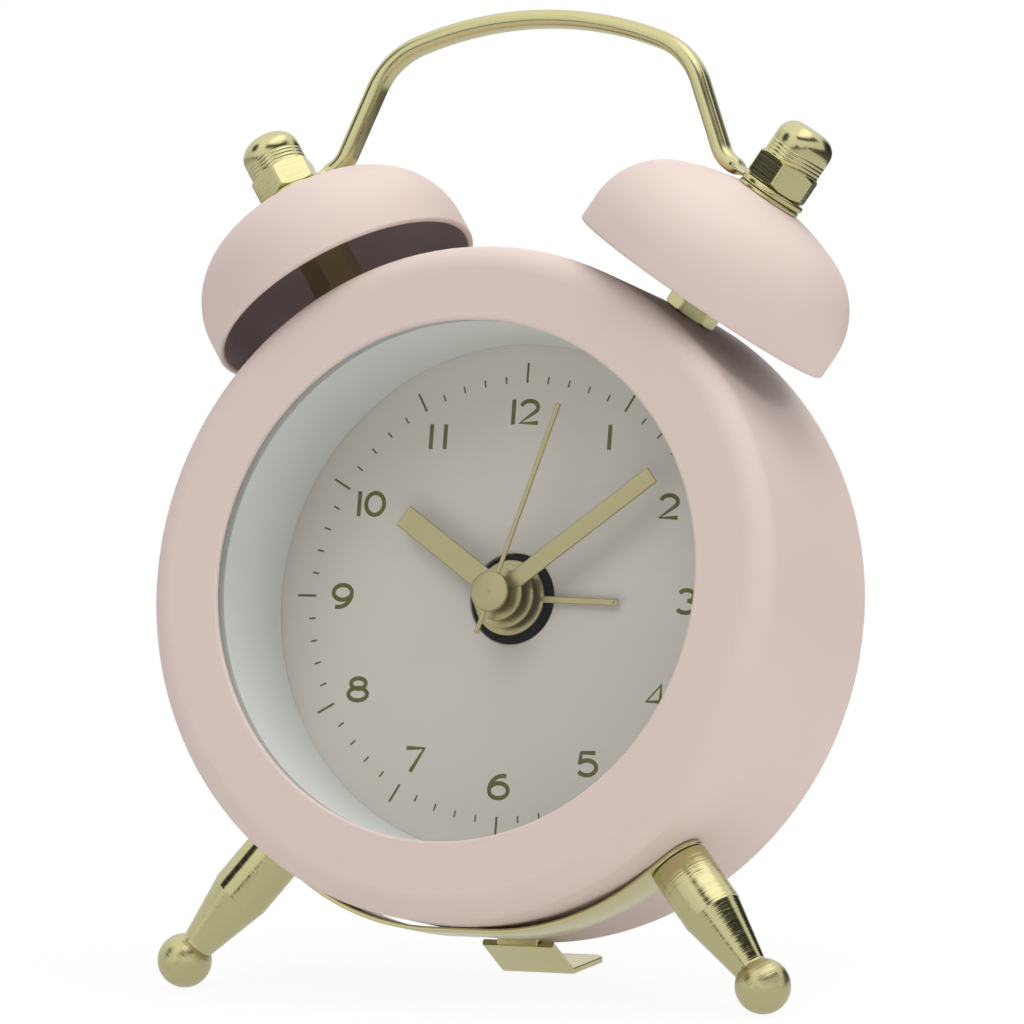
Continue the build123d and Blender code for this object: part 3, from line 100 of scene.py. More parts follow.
# Room that the metal reflects: a dark beam, whose edges are given by the sine of their height and
# by their turn from the front in radians, and dark spots, each with its turn and height and the
# angles where its dark starts to fade and where it ends, in degrees
BEAM_LOW, BEAM_HIGH = (0.46, 0.54), (0.7, 0.78)
BEAM_LEFT, BEAM_RIGHT = (-0.16, 0.08), (1.9, 2.2)
ROOM_SPOTS = ((-58, 30, 11, 18), (-3, -1, 5, 9), (150, -2, 22, 34))
ROOM_LEVEL, ROOM_ABOVE, ROOM_FRONT, ROOM_PATCH, ROOM_DARK = 0.8, 0.3, 0.15, 0.6, 0.97

# Floor that the metal reflects: a direction, where the floor starts and ends to darken along it
# in metres, and how dark it gets
FLOOR_DARKS = (((0.8, 0.5, 0), 0.115, 0.145, 0.93), ((0, -1, 0), 0.3, 0.5, 0.9))
FLOOR_DIM, FLOOR_LEFT_DIM = 0.3, 0.25


def axis_origin():
    """Where the case's axis meets the bezel plane, read from the lens."""
    low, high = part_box("lens")
    middle = (low + high) / 2 / MILLIMETRE
    return Vector((0, middle.y - cos(LEAN) * LENS_MIDDLE, middle.z + sin(LEAN) * LENS_MIDDLE))


clock = Matrix.Translation(axis_origin()) @ Matrix.Rotation(-LEAN, 4, "X")
face = clock @ Matrix.Rotation(pi / 2, 4, "X")


def on_dial(depth, clockwise=0.0, at=(0, 0)):
    """Frame parallel to the dial: Z to the viewer, Y towards an angle from 12."""
    return (face @ Matrix.Translation((at[0], at[1], -depth))
            @ Matrix.Rotation(-radians(clockwise), 4, "Z"))


def on_spoke(clockwise, depth):
    """Frame on a radial axis: Z outwards, Y to the rear."""
    return clock @ Matrix.Translation((0, depth, 0)) @ Matrix.Rotation(radians(clockwise), 4, "Y")


def spoke_axis(clockwise):
    """Direction of a radial axis."""
    return clock.to_3x3() @ Vector((sin(radians(clockwise)), 0, cos(radians(clockwise))))


# ---------------------------------------------------------------- modelling by hand
def mode(name):
    bpy.ops.object.mode_set(mode=name)


def all_points():
    bpy.ops.mesh.select_all(action="SELECT")


def applied():
    """Puts the place, turn and size of what is selected into its mesh."""
    bpy.ops.object.transform_apply(location=True, rotation=True, scale=True)


def named(piece, name):
    piece.name = piece.data.name = name
    return piece


def fresh(add, name, **sizes):
    """A new primitive by itself, with its edit mode open and all of it selected."""
    bpy.ops.object.select_all(action="DESELECT")
    add(**sizes)
    piece = named(bpy.context.object, name)
    mode("EDIT")
    all_points()
    return piece


def closed(piece):
    """Merges doubled points, turns the faces outwards and leaves edit mode."""
    all_points()
    bpy.ops.mesh.remove_doubles(threshold=0.0005)
    bpy.ops.mesh.normals_make_consistent(inside=False)
    mode("OBJECT")
    return piece


def only(piece):
    """Selects one object and makes it active."""
    bpy.ops.object.select_all(action="DESELECT")
    piece.select_set(True)
    bpy.context.view_layer.objects.active = piece
    return piece


def modify(piece, kind, **settings):
    """Adds a modifier and applies it."""
    only(piece)
    added = piece.modifiers.new(kind.title(), kind)
    for key, value in settings.items():
        setattr(added, key, value)
    bpy.ops.object.modifier_apply(modifier=added.name)
    return piece


def rounded(points, loop=True, bends=5):
    """An outline with its corners rounded: each point is a radius, a height and its rounding."""
    path = []
    count = len(points)
    for n, (x, z, rounding) in enumerate(points):
        if rounding == 0 or (not loop and n in (0, count - 1)):
            path.append((x, z))
            continue
        here = Vector((x, z))
        before = (Vector(points[n - 1][:2]) - here).normalized()
        after = (Vector(points[(n + 1) % count][:2]) - here).normalized()
        half = before.angle(after) / 2
        middle = here + (before + after).normalized() * rounding / sin(half)
        start = here + before * rounding / tan(half) - middle
        end = here + after * rounding / tan(half) - middle
        sweep = start.angle_signed(end)
        for step in range(bends + 1):
            turn = -sweep * step / bends
            path.append(tuple(middle + Matrix.Rotation(turn, 2) @ start))
    return path


def arc(x, z, radius, start, end, steps, flat=1.0):
    """Points on an arc about a centre, between two angles in degrees."""
    angles = [radians(start + (end - start) * n / steps) for n in range(steps + 1)]
    return [(x + radius * cos(a), z + radius * flat * sin(a)) for a in angles]


def drawn(path, loop, name):
    """A chain of edges in the XZ plane, extruded point by point."""
    piece = fresh(bpy.ops.mesh.primitive_circle_add, name, vertices=3, radius=0.1,
                  location=(path[0][0], 0, path[0][1]))
    bpy.ops.mesh.merge(type="CENTER")
    for (x, z), (next_x, next_z) in zip(path, path[1:] + path[:1 if loop else 0]):
        step = (next_x - x, 0, next_z - z)
        bpy.ops.mesh.extrude_vertices_move(TRANSFORM_OT_translate={"value": step})
    all_points()
    return piece


def spin(steps, angle, centre=(0, 0, 0), axis=(0, 0, 1), copies=False):
    """Turns what is selected about an axis, as a skin or as copies."""
    bpy.ops.mesh.spin(steps=steps, angle=angle, center=centre, axis=axis, dupli=copies)


def turned(name, path, loop=True, steps=96):
    """A piece turned about Z from an outline of radius and height."""
    piece = drawn(path, loop, name)
    spin(steps, 2 * pi)
    closed(piece)
    applied()
    return piece


def ring(name, inner, outer, low, high, edges=(0, 0, 0, 0), bends=5, steps=80):
    """A ring, or a disc if it has no inner radius: its roundings are those of the inner low,
    outer low, outer high and inner high corner."""
    corners = ((inner, low), (outer, low), (outer, high), (inner, high))
    points = [(x, z, edge) for (x, z), edge in zip(corners, edges)]
    return turned(name, rounded(points, inner > 0, bends), inner > 0, steps)


def block(name, centre, size, edge):
    """A bar with bevelled edges."""
    piece = fresh(bpy.ops.mesh.primitive_cube_add, name, size=1)
    bpy.ops.transform.resize(value=size)
    bpy.ops.transform.translate(value=centre)
    bpy.ops.mesh.bevel(offset=edge, segments=1, affect="EDGES")
    return closed(piece)


def hexagon(name, flats, low, high, edge, ease, chamfer):
    """A hexagonal bar along Z with softened corners, its ends turned to a chamfer."""
    piece = fresh(bpy.ops.mesh.primitive_cylinder_add, name, vertices=6, radius=flats / sqrt(3),
                  depth=high - low)
    bpy.ops.transform.translate(value=(0, 0, (high + low) / 2))
    bpy.ops.mesh.bevel(offset=edge, segments=3, affect="EDGES")
    closed(piece)
    inside, outside = flats / 2 - ease, flats / sqrt(3) + 0.1
    limit = [(0, low), (inside, low), (outside, low + chamfer), (outside, high - chamfer),
             (inside, high), (0, high)]
    return combine(piece, turned("limit", limit, loop=False), "INTERSECT")


def plate(name, width, height, corner, thickness, edge):
    """A flat plate on Z = 0 with rounded corners and softened edges."""
    piece = fresh(bpy.ops.mesh.primitive_plane_add, name, size=1)
    bpy.ops.transform.resize(value=(width, height, 1))
    bpy.ops.mesh.bevel(offset=corner, segments=6, affect="VERTICES")
    bpy.ops.mesh.extrude_region_move(TRANSFORM_OT_translate={"value": (0, 0, thickness)})
    closed(piece)
    applied()
    return modify(piece, "BEVEL", width=edge, segments=3, limit_method="ANGLE",
                  angle_limit=radians(60))


def combine(piece, other, operation):
    """Adds, cuts or keeps what two closed pieces share."""
    modify(piece, "BOOLEAN", object=other, operation=operation, solver="EXACT")
    bpy.data.objects.remove(other)
    mode("EDIT")
    return closed(piece)


def bored(piece, radius, low, high):
    """Cuts a round hole along Z."""
    return combine(piece, ring("bore", 0, radius, low, high, steps=48), "DIFFERENCE")


def joined(name, pieces):
    """Several placed pieces as one object."""
    bpy.ops.object.select_all(action="DESELECT")
    for piece in pieces:
        piece.select_set(True)
    bpy.context.view_layer.objects.active = pieces[0]
    bpy.ops.object.join()
    return named(pieces[0], name)


def moved(piece, place):
    """Moves a modelled piece, with the move in its mesh."""
    only(piece)
    piece.matrix_world = place @ piece.matrix_world
    applied()
    return piece


def placed(piece, place):
    """Puts a modelled piece in its place, in metres."""
    return moved(piece, Matrix.Scale(MILLIMETRE, 4) @ place)


def paired(piece):
    """Adds the mirror image across the clock's middle, and welds the halves where they meet."""
    return modify(piece, "MIRROR", use_mirror_merge=True, merge_threshold=0.01)


def smoothed(piece, angle=32):
    """Smooth shading that keeps the edges sharper than an angle."""
    only(piece)
    bpy.ops.object.shade_smooth_by_angle(angle=radians(angle), keep_sharp_edges=False)
    return piece


def coated(piece, *materials):
    """Gives a piece its finishes, in place of any that it has."""
    piece.data.materials.clear()
    for material in materials:
        piece.data.materials.append(material)
    return piece


def dressed(piece, material, slot, body, *nodes):
    """Gives a finished piece its finish, its body and the solids it stands for."""
    if material is not None:
        coated(piece, material)
    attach(piece, body)
    if nodes:
        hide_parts(*nodes)
    return piece


class Bar:
    """A bar that is pushed along and bent in its XZ plane, from a section square to X."""

    def __init__(self, name, start, width, thickness, edge, heading=(-1, 0), segments=4):
        self.at = Vector(start)
        self.heading = Vector(heading).normalized()
        self.piece = fresh(bpy.ops.mesh.primitive_plane_add, name, size=1)
        bpy.ops.transform.resize(value=(thickness, width, 1))
        bpy.ops.mesh.bevel(offset=edge, segments=segments, affect="VERTICES")
        lie = atan2(self.heading.x, self.heading.y)
        mode("OBJECT")
        self.piece.matrix_world = (Matrix.Translation((self.at.x, 0, self.at.y))
                                   @ Matrix.Rotation(lie, 4, "Y"))
        applied()
        mode("EDIT")
        all_points()

    def push(self, length):
        """Straight run."""
        step = self.heading * length
        self.at = self.at + step
        bpy.ops.mesh.extrude_region_move(TRANSFORM_OT_translate={"value": (step.x, 0, step.y)})
        return self

    def bend(self, radius, turn, steps):
        """Bend by an angle, to the left of the heading where it is positive."""
        left = Vector((-self.heading.y, self.heading.x))
        centre = self.at + left * (radius if turn > 0 else -radius)
        spin(steps, turn, (centre.x, 0, centre.y), (0, 1, 0))
        spun = Matrix.Rotation(turn, 2)
        self.at = centre + spun @ (self.at - centre)
        self.heading = spun @ self.heading
        return self

    def swell(self, across, thick):
        """Scales the end section, which has to be square to X."""
        bpy.ops.transform.resize(value=(1, across, thick),
                                 center_override=(self.at.x, 0, self.at.y))
        return self

    def done(self, open_end=False):
        """Closes the piece, or leaves its end open for a mirror image."""
        if open_end:
            bpy.ops.mesh.delete(type="ONLY_FACE")
        return closed(self.piece)


# ---------------------------------------------------------------- finishes
def shade(red, green, blue):
    """A colour from its eight-bit screen values."""
    return tuple(v / 12.92 if v <= 0.04045 else ((v + 0.055) / 1.055) ** 2.4
                 for v in (red / 255, green / 255, blue / 255)) + (1.0,)


class Wire:
    """A shader value that sums and products can be written with."""

    def __init__(self, tree, socket):
        self.tree, self.socket = tree, socket

    def sum(self, operation, *values):
        node = self.tree.nodes.new("ShaderNodeMath")
        node.operation = operation
        for socket, value in zip(node.inputs, values):
            if isinstance(value, Wire):
                self.tree.links.new(value.socket, socket)
            else:
                socket.default_value = value
        return Wire(self.tree, node.outputs[0])

    def __add__(self, other): return self.sum("ADD", self, other)
    def __radd__(self, other): return self.sum("ADD", other, self)
    def __sub__(self, other): return self.sum("SUBTRACT", self, other)
    def __rsub__(self, other): return self.sum("SUBTRACT", other, self)
    def __mul__(self, other): return self.sum("MULTIPLY", self, other)
    def __rmul__(self, other): return self.sum("MULTIPLY", other, self)
    def __gt__(self, other): return self.sum("GREATER_THAN", self, other)

    def most(self, other):
        return self.sum("MAXIMUM", self, other)


class Finish:
    """A material and the tools to build its nodes."""

    def __init__(self, name, tree=None):
        if tree is None:
            self.material = bpy.data.materials.new(name)
            self.material.use_nodes = True
            tree = self.material.node_tree
        self.tree = tree
        tree.nodes.clear()

    def node(self, kind, settings, sockets, output=0):
        """A node from its type, its settings and the values or links of its sockets."""
        made = self.tree.nodes.new(kind)
        for key, value in settings.items():
            setattr(made, key, value)
        for key, value in sockets.items():
            if isinstance(value, Wire):
                self.tree.links.new(value.socket, made.inputs[key])
            else:
                made.inputs[key].default_value = value
        return Wire(self.tree, made.outputs[output]) if len(made.outputs) else made

    def place(self):
        """Position in metres."""
        return self.node("ShaderNodeTexCoord", {}, {}, "Object")

    def noise(self, scale, detail=2.0, vector=None):
        """Cloudy noise from 0 to 1, its grain in features a metre."""
        return self.node("ShaderNodeTexNoise", {}, {
            "Vector": vector or self.place(), "Scale": scale, "Detail": detail})

    def stretched(self, scales):
        """Position stretched along the axes."""
        return self.node("ShaderNodeMapping", {"vector_type": "POINT"},
                         {"Vector": self.place(), "Scale": scales})

    def window(self, value, start, end):
        """Smooth rise from 0 to 1 between two values."""
        return self.node("ShaderNodeMapRange", {"interpolation_type": "SMOOTHSTEP"},
                         {"Value": value, "From Min": start, "From Max": end})

    def dot(self, vector, direction):
        return self.node("ShaderNodeVectorMath", {"operation": "DOT_PRODUCT"},
                         {0: vector, 1: tuple(direction)}, "Value")

    def along(self, direction):
        """Distance along a direction, in metres."""
        return self.dot(self.place(), direction)

    def rays(self):
        """Three masks: rays from the camera, reflected rays and rays through clear plastic."""
        return [self.node("ShaderNodeLightPath", {}, {}, "Is %s Ray" % kind)
                for kind in ("Camera", "Glossy", "Transmission")]

    def rings(self, direction, scale, detail=3.0):
        """Fine turning marks that change only along an axis."""
        return self.node("ShaderNodeTexNoise", {"noise_dimensions": "1D"},
                         {"W": self.along(direction), "Scale": scale, "Detail": detail})

    def mix(self, factor, first, second):
        """Blend of two colours."""
        return self.node("ShaderNodeMix", {"data_type": "RGBA"},
                         {0: factor, 6: first, 7: second}, 2)

    def blend(self, factor, first, second):
        """Blend of two shaders."""
        return self.node("ShaderNodeMixShader", {}, {0: factor, 1: first, 2: second})

    def bump(self, height, distance, strength):
        """Surface relief from a height, whose full range is a distance in metres."""
        return self.node("ShaderNodeBump", {},
                         {"Height": height, "Distance": distance, "Strength": strength})

    def surface(self, **sockets):
        """Principled surface whose sockets are named with underscores."""
        shader = self.node("ShaderNodeBsdfPrincipled", {},
                           {key.replace("_", " "): value for key, value in sockets.items()})
        self.node("ShaderNodeOutputMaterial", {}, {"Surface": shader})
        return self.material


def near(tone, factor):
    """A colour made lighter or darker."""
    return tuple(min(1.0, v * factor) for v in tone[:3]) + (1.0,)


def painted(name, base, rough, grain=3200, relief=0.000012):
    """Matte sprayed paint: a fine even grain with faint clouding."""
    finish = Finish(name)
    cloud = finish.noise(60, 3)
    fine = finish.noise(grain, 2)
    tone = finish.mix(cloud * 0.7 + fine * 0.3, near(base, 0.955), near(base, 1.045))
    return finish.surface(Base_Color=tone, Roughness=rough + (cloud - 0.5) * 0.12,
                          Normal=finish.bump(fine, relief, 0.6), Specular_IOR_Level=0.35)


def metal(name, base, rough, direction=None, ring_scale=2600, relief=0.000006, wear=0.12):
    """Plated metal: soft clouding, and turning marks where it has an axis."""
    finish = Finish(name)
    cloud = finish.noise(180, 3)
    tone = finish.mix(cloud, near(base, 0.94), near(base, 1.05))
    if direction is None:
        marks = finish.noise(1500, 3, finish.stretched((1, 1, 0.25)))
    else:
        marks = finish.rings(direction, ring_scale)
    return finish.surface(Base_Color=tone, Metallic=1.0,
                          Roughness=rough + (cloud - 0.5) * wear + (marks - 0.5) * wear,
                          Normal=finish.bump(marks, relief, 0.5))


def turned_gold(name, axis, start):
    """Plated gold with turning marks, brushed beyond a distance along the axis."""
    coarse_scale, fine_scale, depth, strength = 1800, 8000, 0.00004, 0.6
    plain_rough, marks_rough, brushed_rough = 0.15, 0.14, 0.13
    finish = Finish(name)
    marks = finish.rings(axis, coarse_scale)
    fine = finish.rings(axis, fine_scale, 1.0)
    brushed = finish.along(axis) > start
    tone = finish.mix(finish.noise(180, 3), near(colour("gold"), 0.86), near(colour("gold"), 0.98))
    rough = plain_rough + (marks - 0.5) * marks_rough + brushed * brushed_rough
    relief = finish.bump(marks * 0.6 + fine * (brushed * 0.5 + 0.3), depth, strength)
    return finish.surface(Base_Color=tone, Metallic=1.0, Roughness=rough, Normal=relief)


def moulded(name, base, rough, sheen=0.5):
    """Moulded plastic with a fine spark-eroded grain."""
    grain, relief = 1400, 0.00001
    finish = Finish(name)
    grainy = finish.noise(grain, 3)
    cloud = finish.noise(90, 2)
    tone = finish.mix(cloud, near(base, 0.96), near(base, 1.04))
    return finish.surface(Base_Color=tone, Roughness=rough + (grainy - 0.5) * 0.15,
                          Normal=finish.bump(grainy, relief, 0.5), Specular_IOR_Level=sheen)


def colour(name):
    return tuple(getattr(bpy.context.scene.desk_clock_colours, name))


def size(name):
    """One of the listed sizes, in millimetres."""
    return getattr(bpy.context.scene.desk_clock_sizes, name) / MILLIMETRE


finishes = {}


def finish_of(key, make, *parts, **settings):
    """A material made once and shared by all the pieces with that finish."""
    if key not in finishes:
        finishes[key] = make(key, *parts, **settings)
    return finishes[key]


def paint():
    return finish_of("case_paint", painted, colour("paint"), 0.52)


def cover_plastic():
    return finish_of("moulded_cover", moulded, colour("cover"), 0.5)


def moulded_black():
    return finish_of("movement_black", moulded, shade(7, 7, 9), 0.6, sheen=0.15)


def gold():
    return finish_of("plated_gold", metal, colour("gold"), 0.22, relief=0.000002)


def hand_gold():
    return finish_of("hand_gold", metal, colour("hand_gold"), 0.38, wear=0.08)


# ---------------------------------------------------------------- settings
def length(name, text, default):
    return bpy.props.FloatProperty(name=name, description=text, default=default * MILLIMETRE,
                                   min=0.0, unit="LENGTH", precision=5)


def tint(name, text, default):
    return bpy.props.FloatVectorProperty(name=name, description=text, default=shade(*default),
                                         size=4, min=0.0, max=1.0, subtype="COLOR")


class DeskClockSizes(bpy.types.PropertyGroup):
    """Sizes of the printed dial and the fine fittings"""
    numeral_height: length("Numeral height", "Height of the dial's numerals", 2.41)
    numeral_stroke: length("Numeral stroke", "Line width of the numerals", 0.4)
    numeral_ring: length("Numeral ring", "Radius that the numerals' middles stand on", 16.95)
    hour_mark_end: length("Hour mark end", "Outer radius of the hour marks", 21.45)
    hour_mark_width: length("Hour mark width", "Width of the hour marks", 0.22)
    minute_mark_end: length("Minute mark end", "Outer radius of the minute marks", 20.25)
    minute_mark_width: length("Minute mark width", "Width of the minute marks", 0.17)
    mark_start: length("Mark start", "Inner radius of all the marks", 19.6)
    print_height: length("Print height", "Thickness of the dial's print", 0.012)
    groove_pitch: length("Groove pitch", "Distance between the cap nuts' turned grooves", 0.34)
    groove_depth: length("Groove depth", "Depth of the cap nuts' turned grooves", 0.035)


class DeskClockColours(bpy.types.PropertyGroup):
    """Colours of the clock's finishes"""
    paint: tint("Paint", "Sprayed paint of the case and the bells", (216, 198, 190))
    cover: tint("Cover", "Moulded back cover, door and knobs", (214, 196, 189))
    gold: tint("Gold", "Pale champagne plating", (206, 200, 150))
    hand_gold: tint("Hand gold", "Satin plating of the hands", (182, 173, 130))
    brass: tint("Brass", "Turned collets and tubes", (186, 160, 108))
    dial: tint("Dial", "Satin dial", (213, 207, 199))
    numerals: tint("Numerals", "Print on the dial", (98, 92, 44))
    ring: tint("Ring", "Inner ring between lens and dial", (214, 219, 214))
    bell_inside: tint("Bell inside", "Unpainted inside of the bells", (176, 164, 166))
    floor: tint("Floor", "Studio floor", (250, 250, 249))


# ---------------------------------------------------------------- pieces
class DressSolids(bpy.types.Operator):
    """Give every kept solid a finish of its own kind"""
    bl_idname = "desk_clock.solids"
    bl_label = "Finishes of the solids"

    def execute(self, context):
        black = moulded_black()
        white_gear = finish_of("gear_white", moulded, shade(226, 224, 214), 0.4)
        steel = finish_of("bright_steel", metal, shade(196, 197, 199), 0.26)
        kept = {
            paint(): ["case_shell"],
            finish_of("pale_ring", moulded, colour("ring"), 0.42): ["inner_ring"],
            self.lens(): ["lens"],
            black: ["movement_front", "movement_rear", "switch_body", "alarm_switch"],
            white_gear: ["third_wheel", "intermediate_wheel", "rotor", "hour_wheel", "alarm_wheel",
                         "coil_bobbin", "gear_bridge"],
            finish_of("turned_brass", metal, colour("brass"), 0.3):
                ["cannon_pinion", "centre_wheel", "second_wheel", "motion_wheel", "alarm_arbor"],
            steel: ["movement_screws", "motor_screws", "bell_studs", "bell_nuts", "leg_screws",
                    "stator", "coil_core", "battery_cell", "negative_contact", "positive_contact",
                    "crystal"],
            finish_of("copper_winding", metal, shade(186, 104, 62), 0.34,
                      direction=face.to_3x3() @ Vector((0, 1, 0)), ring_scale=6000):
                ["coil_winding"],
            finish_of("board_green", moulded, shade(36, 84, 54), 0.4): ["circuit_board"],
            finish_of("chip_black", moulded, shade(22, 22, 24), 0.55): ["chip", "buzzer"],
            cover_plastic(): ["back_cover"],
        }
        for material, names in kept.items():
            for name in names:
                coated(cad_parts[name], material)
        return {"FINISHED"}

    @staticmethod
    def lens():
        """Clear flat lens with a faint haze."""
        finish = Finish("clear_lens")
        haze = finish.noise(25, 2)
        return finish.surface(Base_Color=shade(236, 240, 238), Roughness=0.04 + haze * 0.03,
                              Alpha=0.01, Specular_IOR_Level=0.6)


class PrintDial(bpy.types.Operator):
    """Punch the dial, and print its twelve numerals and sixty marks"""
    bl_idname = "desk_clock.dial"
    bl_label = "Dial and its print"

    @staticmethod
    def strokes(digit):
        """Middle lines of a digit, in halves of its height."""
        ring = [arc(0, 0, 0.9, 90, 450, 28, 1.11)]
        six = [arc(0, -0.33, 0.92, 180, 540, 26, 0.73), arc(0.36, -0.24, 1.28, 180, 76, 10, 0.97)]
        return {
            "0": ring,
            "1": [[(0, 1.14), (0, -1.14)]],
            "2": [arc(0.02, 0.42, 0.82, 168, -36, 14, 0.71) + [(-0.84, -1.0), (0.92, -1.0)]],
            "3": [arc(0, 0.5, 0.74, 150, -80, 14, 0.68), arc(0, -0.46, 0.88, 82, -152, 16, 0.62)],
            "4": [[(0.42, -1.14), (0.42, 1.0), (-0.9, -0.5), (0.92, -0.5)]],
            "5": [[(0.74, 1.0), (-0.62, 1.0), (-0.72, 0.1)]
                  + arc(0, -0.33, 0.9, 142, -150, 16, 0.74)],
            "6": six,
            "7": [[(-0.9, 1.0), (0.86, 1.0), (-0.4, -1.14)]],
            "8": [arc(0, 0.52, 0.74, 90, 450, 22, 0.65), arc(0, -0.44, 0.94, 90, 450, 26, 0.6)],
            "9": [[(-x, -z) for x, z in line] for line in six],
        }[digit]

    def digit(self, text, left, at):
        """One digit's strokes as flattened round lines, moved to its place on the dial."""
        half = (size("numeral_height") - size("numeral_stroke")) / 2
        for line in self.strokes(text):
            gap = hypot(line[0][0] - line[-1][0], line[0][1] - line[-1][1])
            whole = gap < 0.001
            path = [(half * x + left, half * z) for x, z in (line[:-1] if whole else line)]
            stroke = drawn(path, whole, "stroke")
            bpy.ops.mesh.remove_doubles(threshold=0.0005)
            mode("OBJECT")
            applied()
            bpy.ops.object.convert(target="CURVE")
            stroke.data.dimensions = "3D"
            stroke.data.bevel_depth = size("numeral_stroke") / 2
            stroke.data.bevel_resolution = 2
            stroke.data.use_fill_caps = True
            bpy.ops.object.convert(target="MESH")
            mode("EDIT")
            closed(stroke)
            flat = size("print_height") / size("numeral_stroke") * 2
            lie = Matrix.Diagonal((1, 1, flat, 1)) @ Matrix.Rotation(-pi / 2, 4, "X")
            yield placed(stroke, on_dial(DIAL_DEPTH, 0, at) @ lie)

    def execute(self, context):
        self.face()
        ring = size("numeral_ring")
        layout = {"10": (-1.25, 0.34), "11": (-0.7, 0.7), "12": (-1.15, 0.4)}
        lines = []
        for hour in range(1, 13):
            angle = radians(hour * 30)
            text = str(hour)
            for digit, left in zip(text, layout.get(text, (0.0,))):
                lines += self.digit(digit, left, (ring * sin(angle), ring * cos(angle)))
        ink = finish_of("dial_print", painted, colour("numerals"), 0.4, grain=6000, relief=0.000002)
        numerals = smoothed(joined("dial_numerals", lines), 60)
        dressed(numerals, ink, "dial_face", "case")
        self.marks(ink)
        return {"FINISHED"}

    @staticmethod
    def face():
        """Dial blank, its hole and rim eased by the punch."""
        hole, thick, hole_edge, rim_edge, burr = 4.1, 0.4, 0.16, 0.08, 0.03
        blank = ring("punched_dial", hole, DIAL_RADIUS, 0, -thick,
                     (hole_edge, rim_edge, burr, burr), steps=160)
        placed(smoothed(blank), on_dial(DIAL_DEPTH))
        satin = finish_of("satin_dial", painted, colour("dial"), 0.42, relief=0.000003)
        dressed(blank, satin, "dial_face", "case", "dial")

    @staticmethod
    def marks(ink):
        """Hour and minute marks, each kind drawn once and copied round the dial."""
        rise = size("print_height")
        start = size("mark_start")
        kinds = [("hour", size("hour_mark_end"), size("hour_mark_width"), 0, 0),
                 ("minute", size("minute_mark_end"), size("minute_mark_width"), 6, 3)]
        for kind, end, width, first, more in kinds:
            piece = block("marks", (0, (end + start) / 2, rise / 2), (width, end - start, rise),
                          rise / 3)
            moved(piece, Matrix.Rotation(-radians(first), 4, "Z"))
            mode("EDIT")
            all_points()
            for steps, turn in ((more, 6 * more), (11, 330)):
                if steps:
                    spin(steps, radians(turn), copies=True)
                    all_points()
            bpy.ops.mesh.normals_make_consistent(inside=False)
            mode("OBJECT")
            named(placed(piece, on_dial(DIAL_DEPTH)), "dial_" + kind + "_marks")
            dressed(piece, ink, "dial_face", "case")


class TurnBells(bpy.types.Operator):
    """Turn the two bells, painted outside and bare inside"""
    bl_idname = "desk_clock.bells"
    bl_label = "Bells"

    def execute(self, context):
        shoulder_z = BELL_RIM + BELL_SKIRT
        inner = CROWN - BELL_WALL
        turn = degrees(atan2(shoulder_z - CROWN_Z, SHOULDER_X))
        seat_turn = degrees(acos(BELL_FLAT / CROWN))
        hole_turn = degrees(acos(STUD_HOLE / inner))
        lip = 0.28
        outside = (arc(BELL_RADIUS - lip, BELL_RIM + lip, lip, -90, 0, 5)
                   + arc(SHOULDER_X, shoulder_z, BELL_SHOULDER, 0, turn, 22)
                   + arc(0, CROWN_Z, CROWN, turn, seat_turn, 12)[1:] + [(STUD_HOLE, BELL_SEAT)])
        inside = (arc(0, CROWN_Z, inner, hole_turn, turn, 14)
                  + arc(SHOULDER_X, shoulder_z, BELL_SHOULDER - BELL_WALL, turn, 0, 22)[1:]
                  + arc(BELL_RADIUS - BELL_WALL + lip, BELL_RIM + lip, lip, 180, 270, 5))
        dark = finish_of("bell_inside", painted, colour("bell_inside"), 0.45)
        for name, side in (("left_bell", -1), ("right_bell", 1)):
            bell = coated(turned(name + "_dome", outside + inside, steps=128), paint(), dark)
            heart = Vector((0, 0, shoulder_z))
            for polygon in bell.data.polygons:
                hollow = polygon.normal.dot(polygon.center - heart) < 0
                above = polygon.center.z > BELL_RIM + lip / 2
                polygon.material_index = 1 if hollow and above else 0
            placed(smoothed(bell), on_spoke(side * BELL_ANGLE, BELL_DEPTH))
            dressed(bell, None, "case_paint", "case", name)
        return {"FINISHED"}


class TurnCapNuts(bpy.types.Operator):
    """Cut the two domed nuts, with their turned grooves"""
    bl_idname = "desk_clock.cap_nuts"
    bl_label = "Cap nuts"

    def execute(self, context):
        flats, hex_height, edge, ease, chamfer = 5.5, 2.6, 0.12, 0.05, 0.4
        dome, crown, shoulder, sunk = 2.7, 3.6, 1.6, 0.35
        first_groove, groove_lip, grooved_share, bore_end = 0.22, 0.07, 0.72, 4
        seat, top = CAP_SEAT, CAP_SEAT + hex_height
        pitch, deep = size("groove_pitch"), size("groove_depth")
        side = [(dome, top - sunk)]
        level = top + first_groove
        while level < top + (crown - shoulder) * grooved_share:
            side += [(dome, level - groove_lip), (dome - deep, level), (dome, level + groove_lip)]
            level += pitch
        side += arc(dome - shoulder, top + crown - shoulder, shoulder, 0, 90, 12)
        pair = []
        for name, way, turn in (("left", -1, 10), ("right", 1, 17)):
            nut = hexagon("nut", flats, seat, top, edge, ease, chamfer)
            cap = turned("cap", [(0, top - sunk)] + side + [(0, top + crown)], loop=False)
            combine(nut, cap, "UNION")
            bored(nut, THREAD, seat - 1, seat + bore_end)
            moved(nut, Matrix.Rotation(radians(turn), 4, "Z"))
            placed(smoothed(nut, 28), on_spoke(way * BELL_ANGLE, BELL_DEPTH))
            plated = finish_of("nut_gold_" + name, metal, colour("gold"), 0.2, ring_scale=5200,
                               direction=spoke_axis(way * BELL_ANGLE), relief=0.00001)
            pair.append(coated(nut, plated))
        dressed(joined("domed_cap_nuts", pair), None, "gold", "case", "cap_nuts")
        return {"FINISHED"}


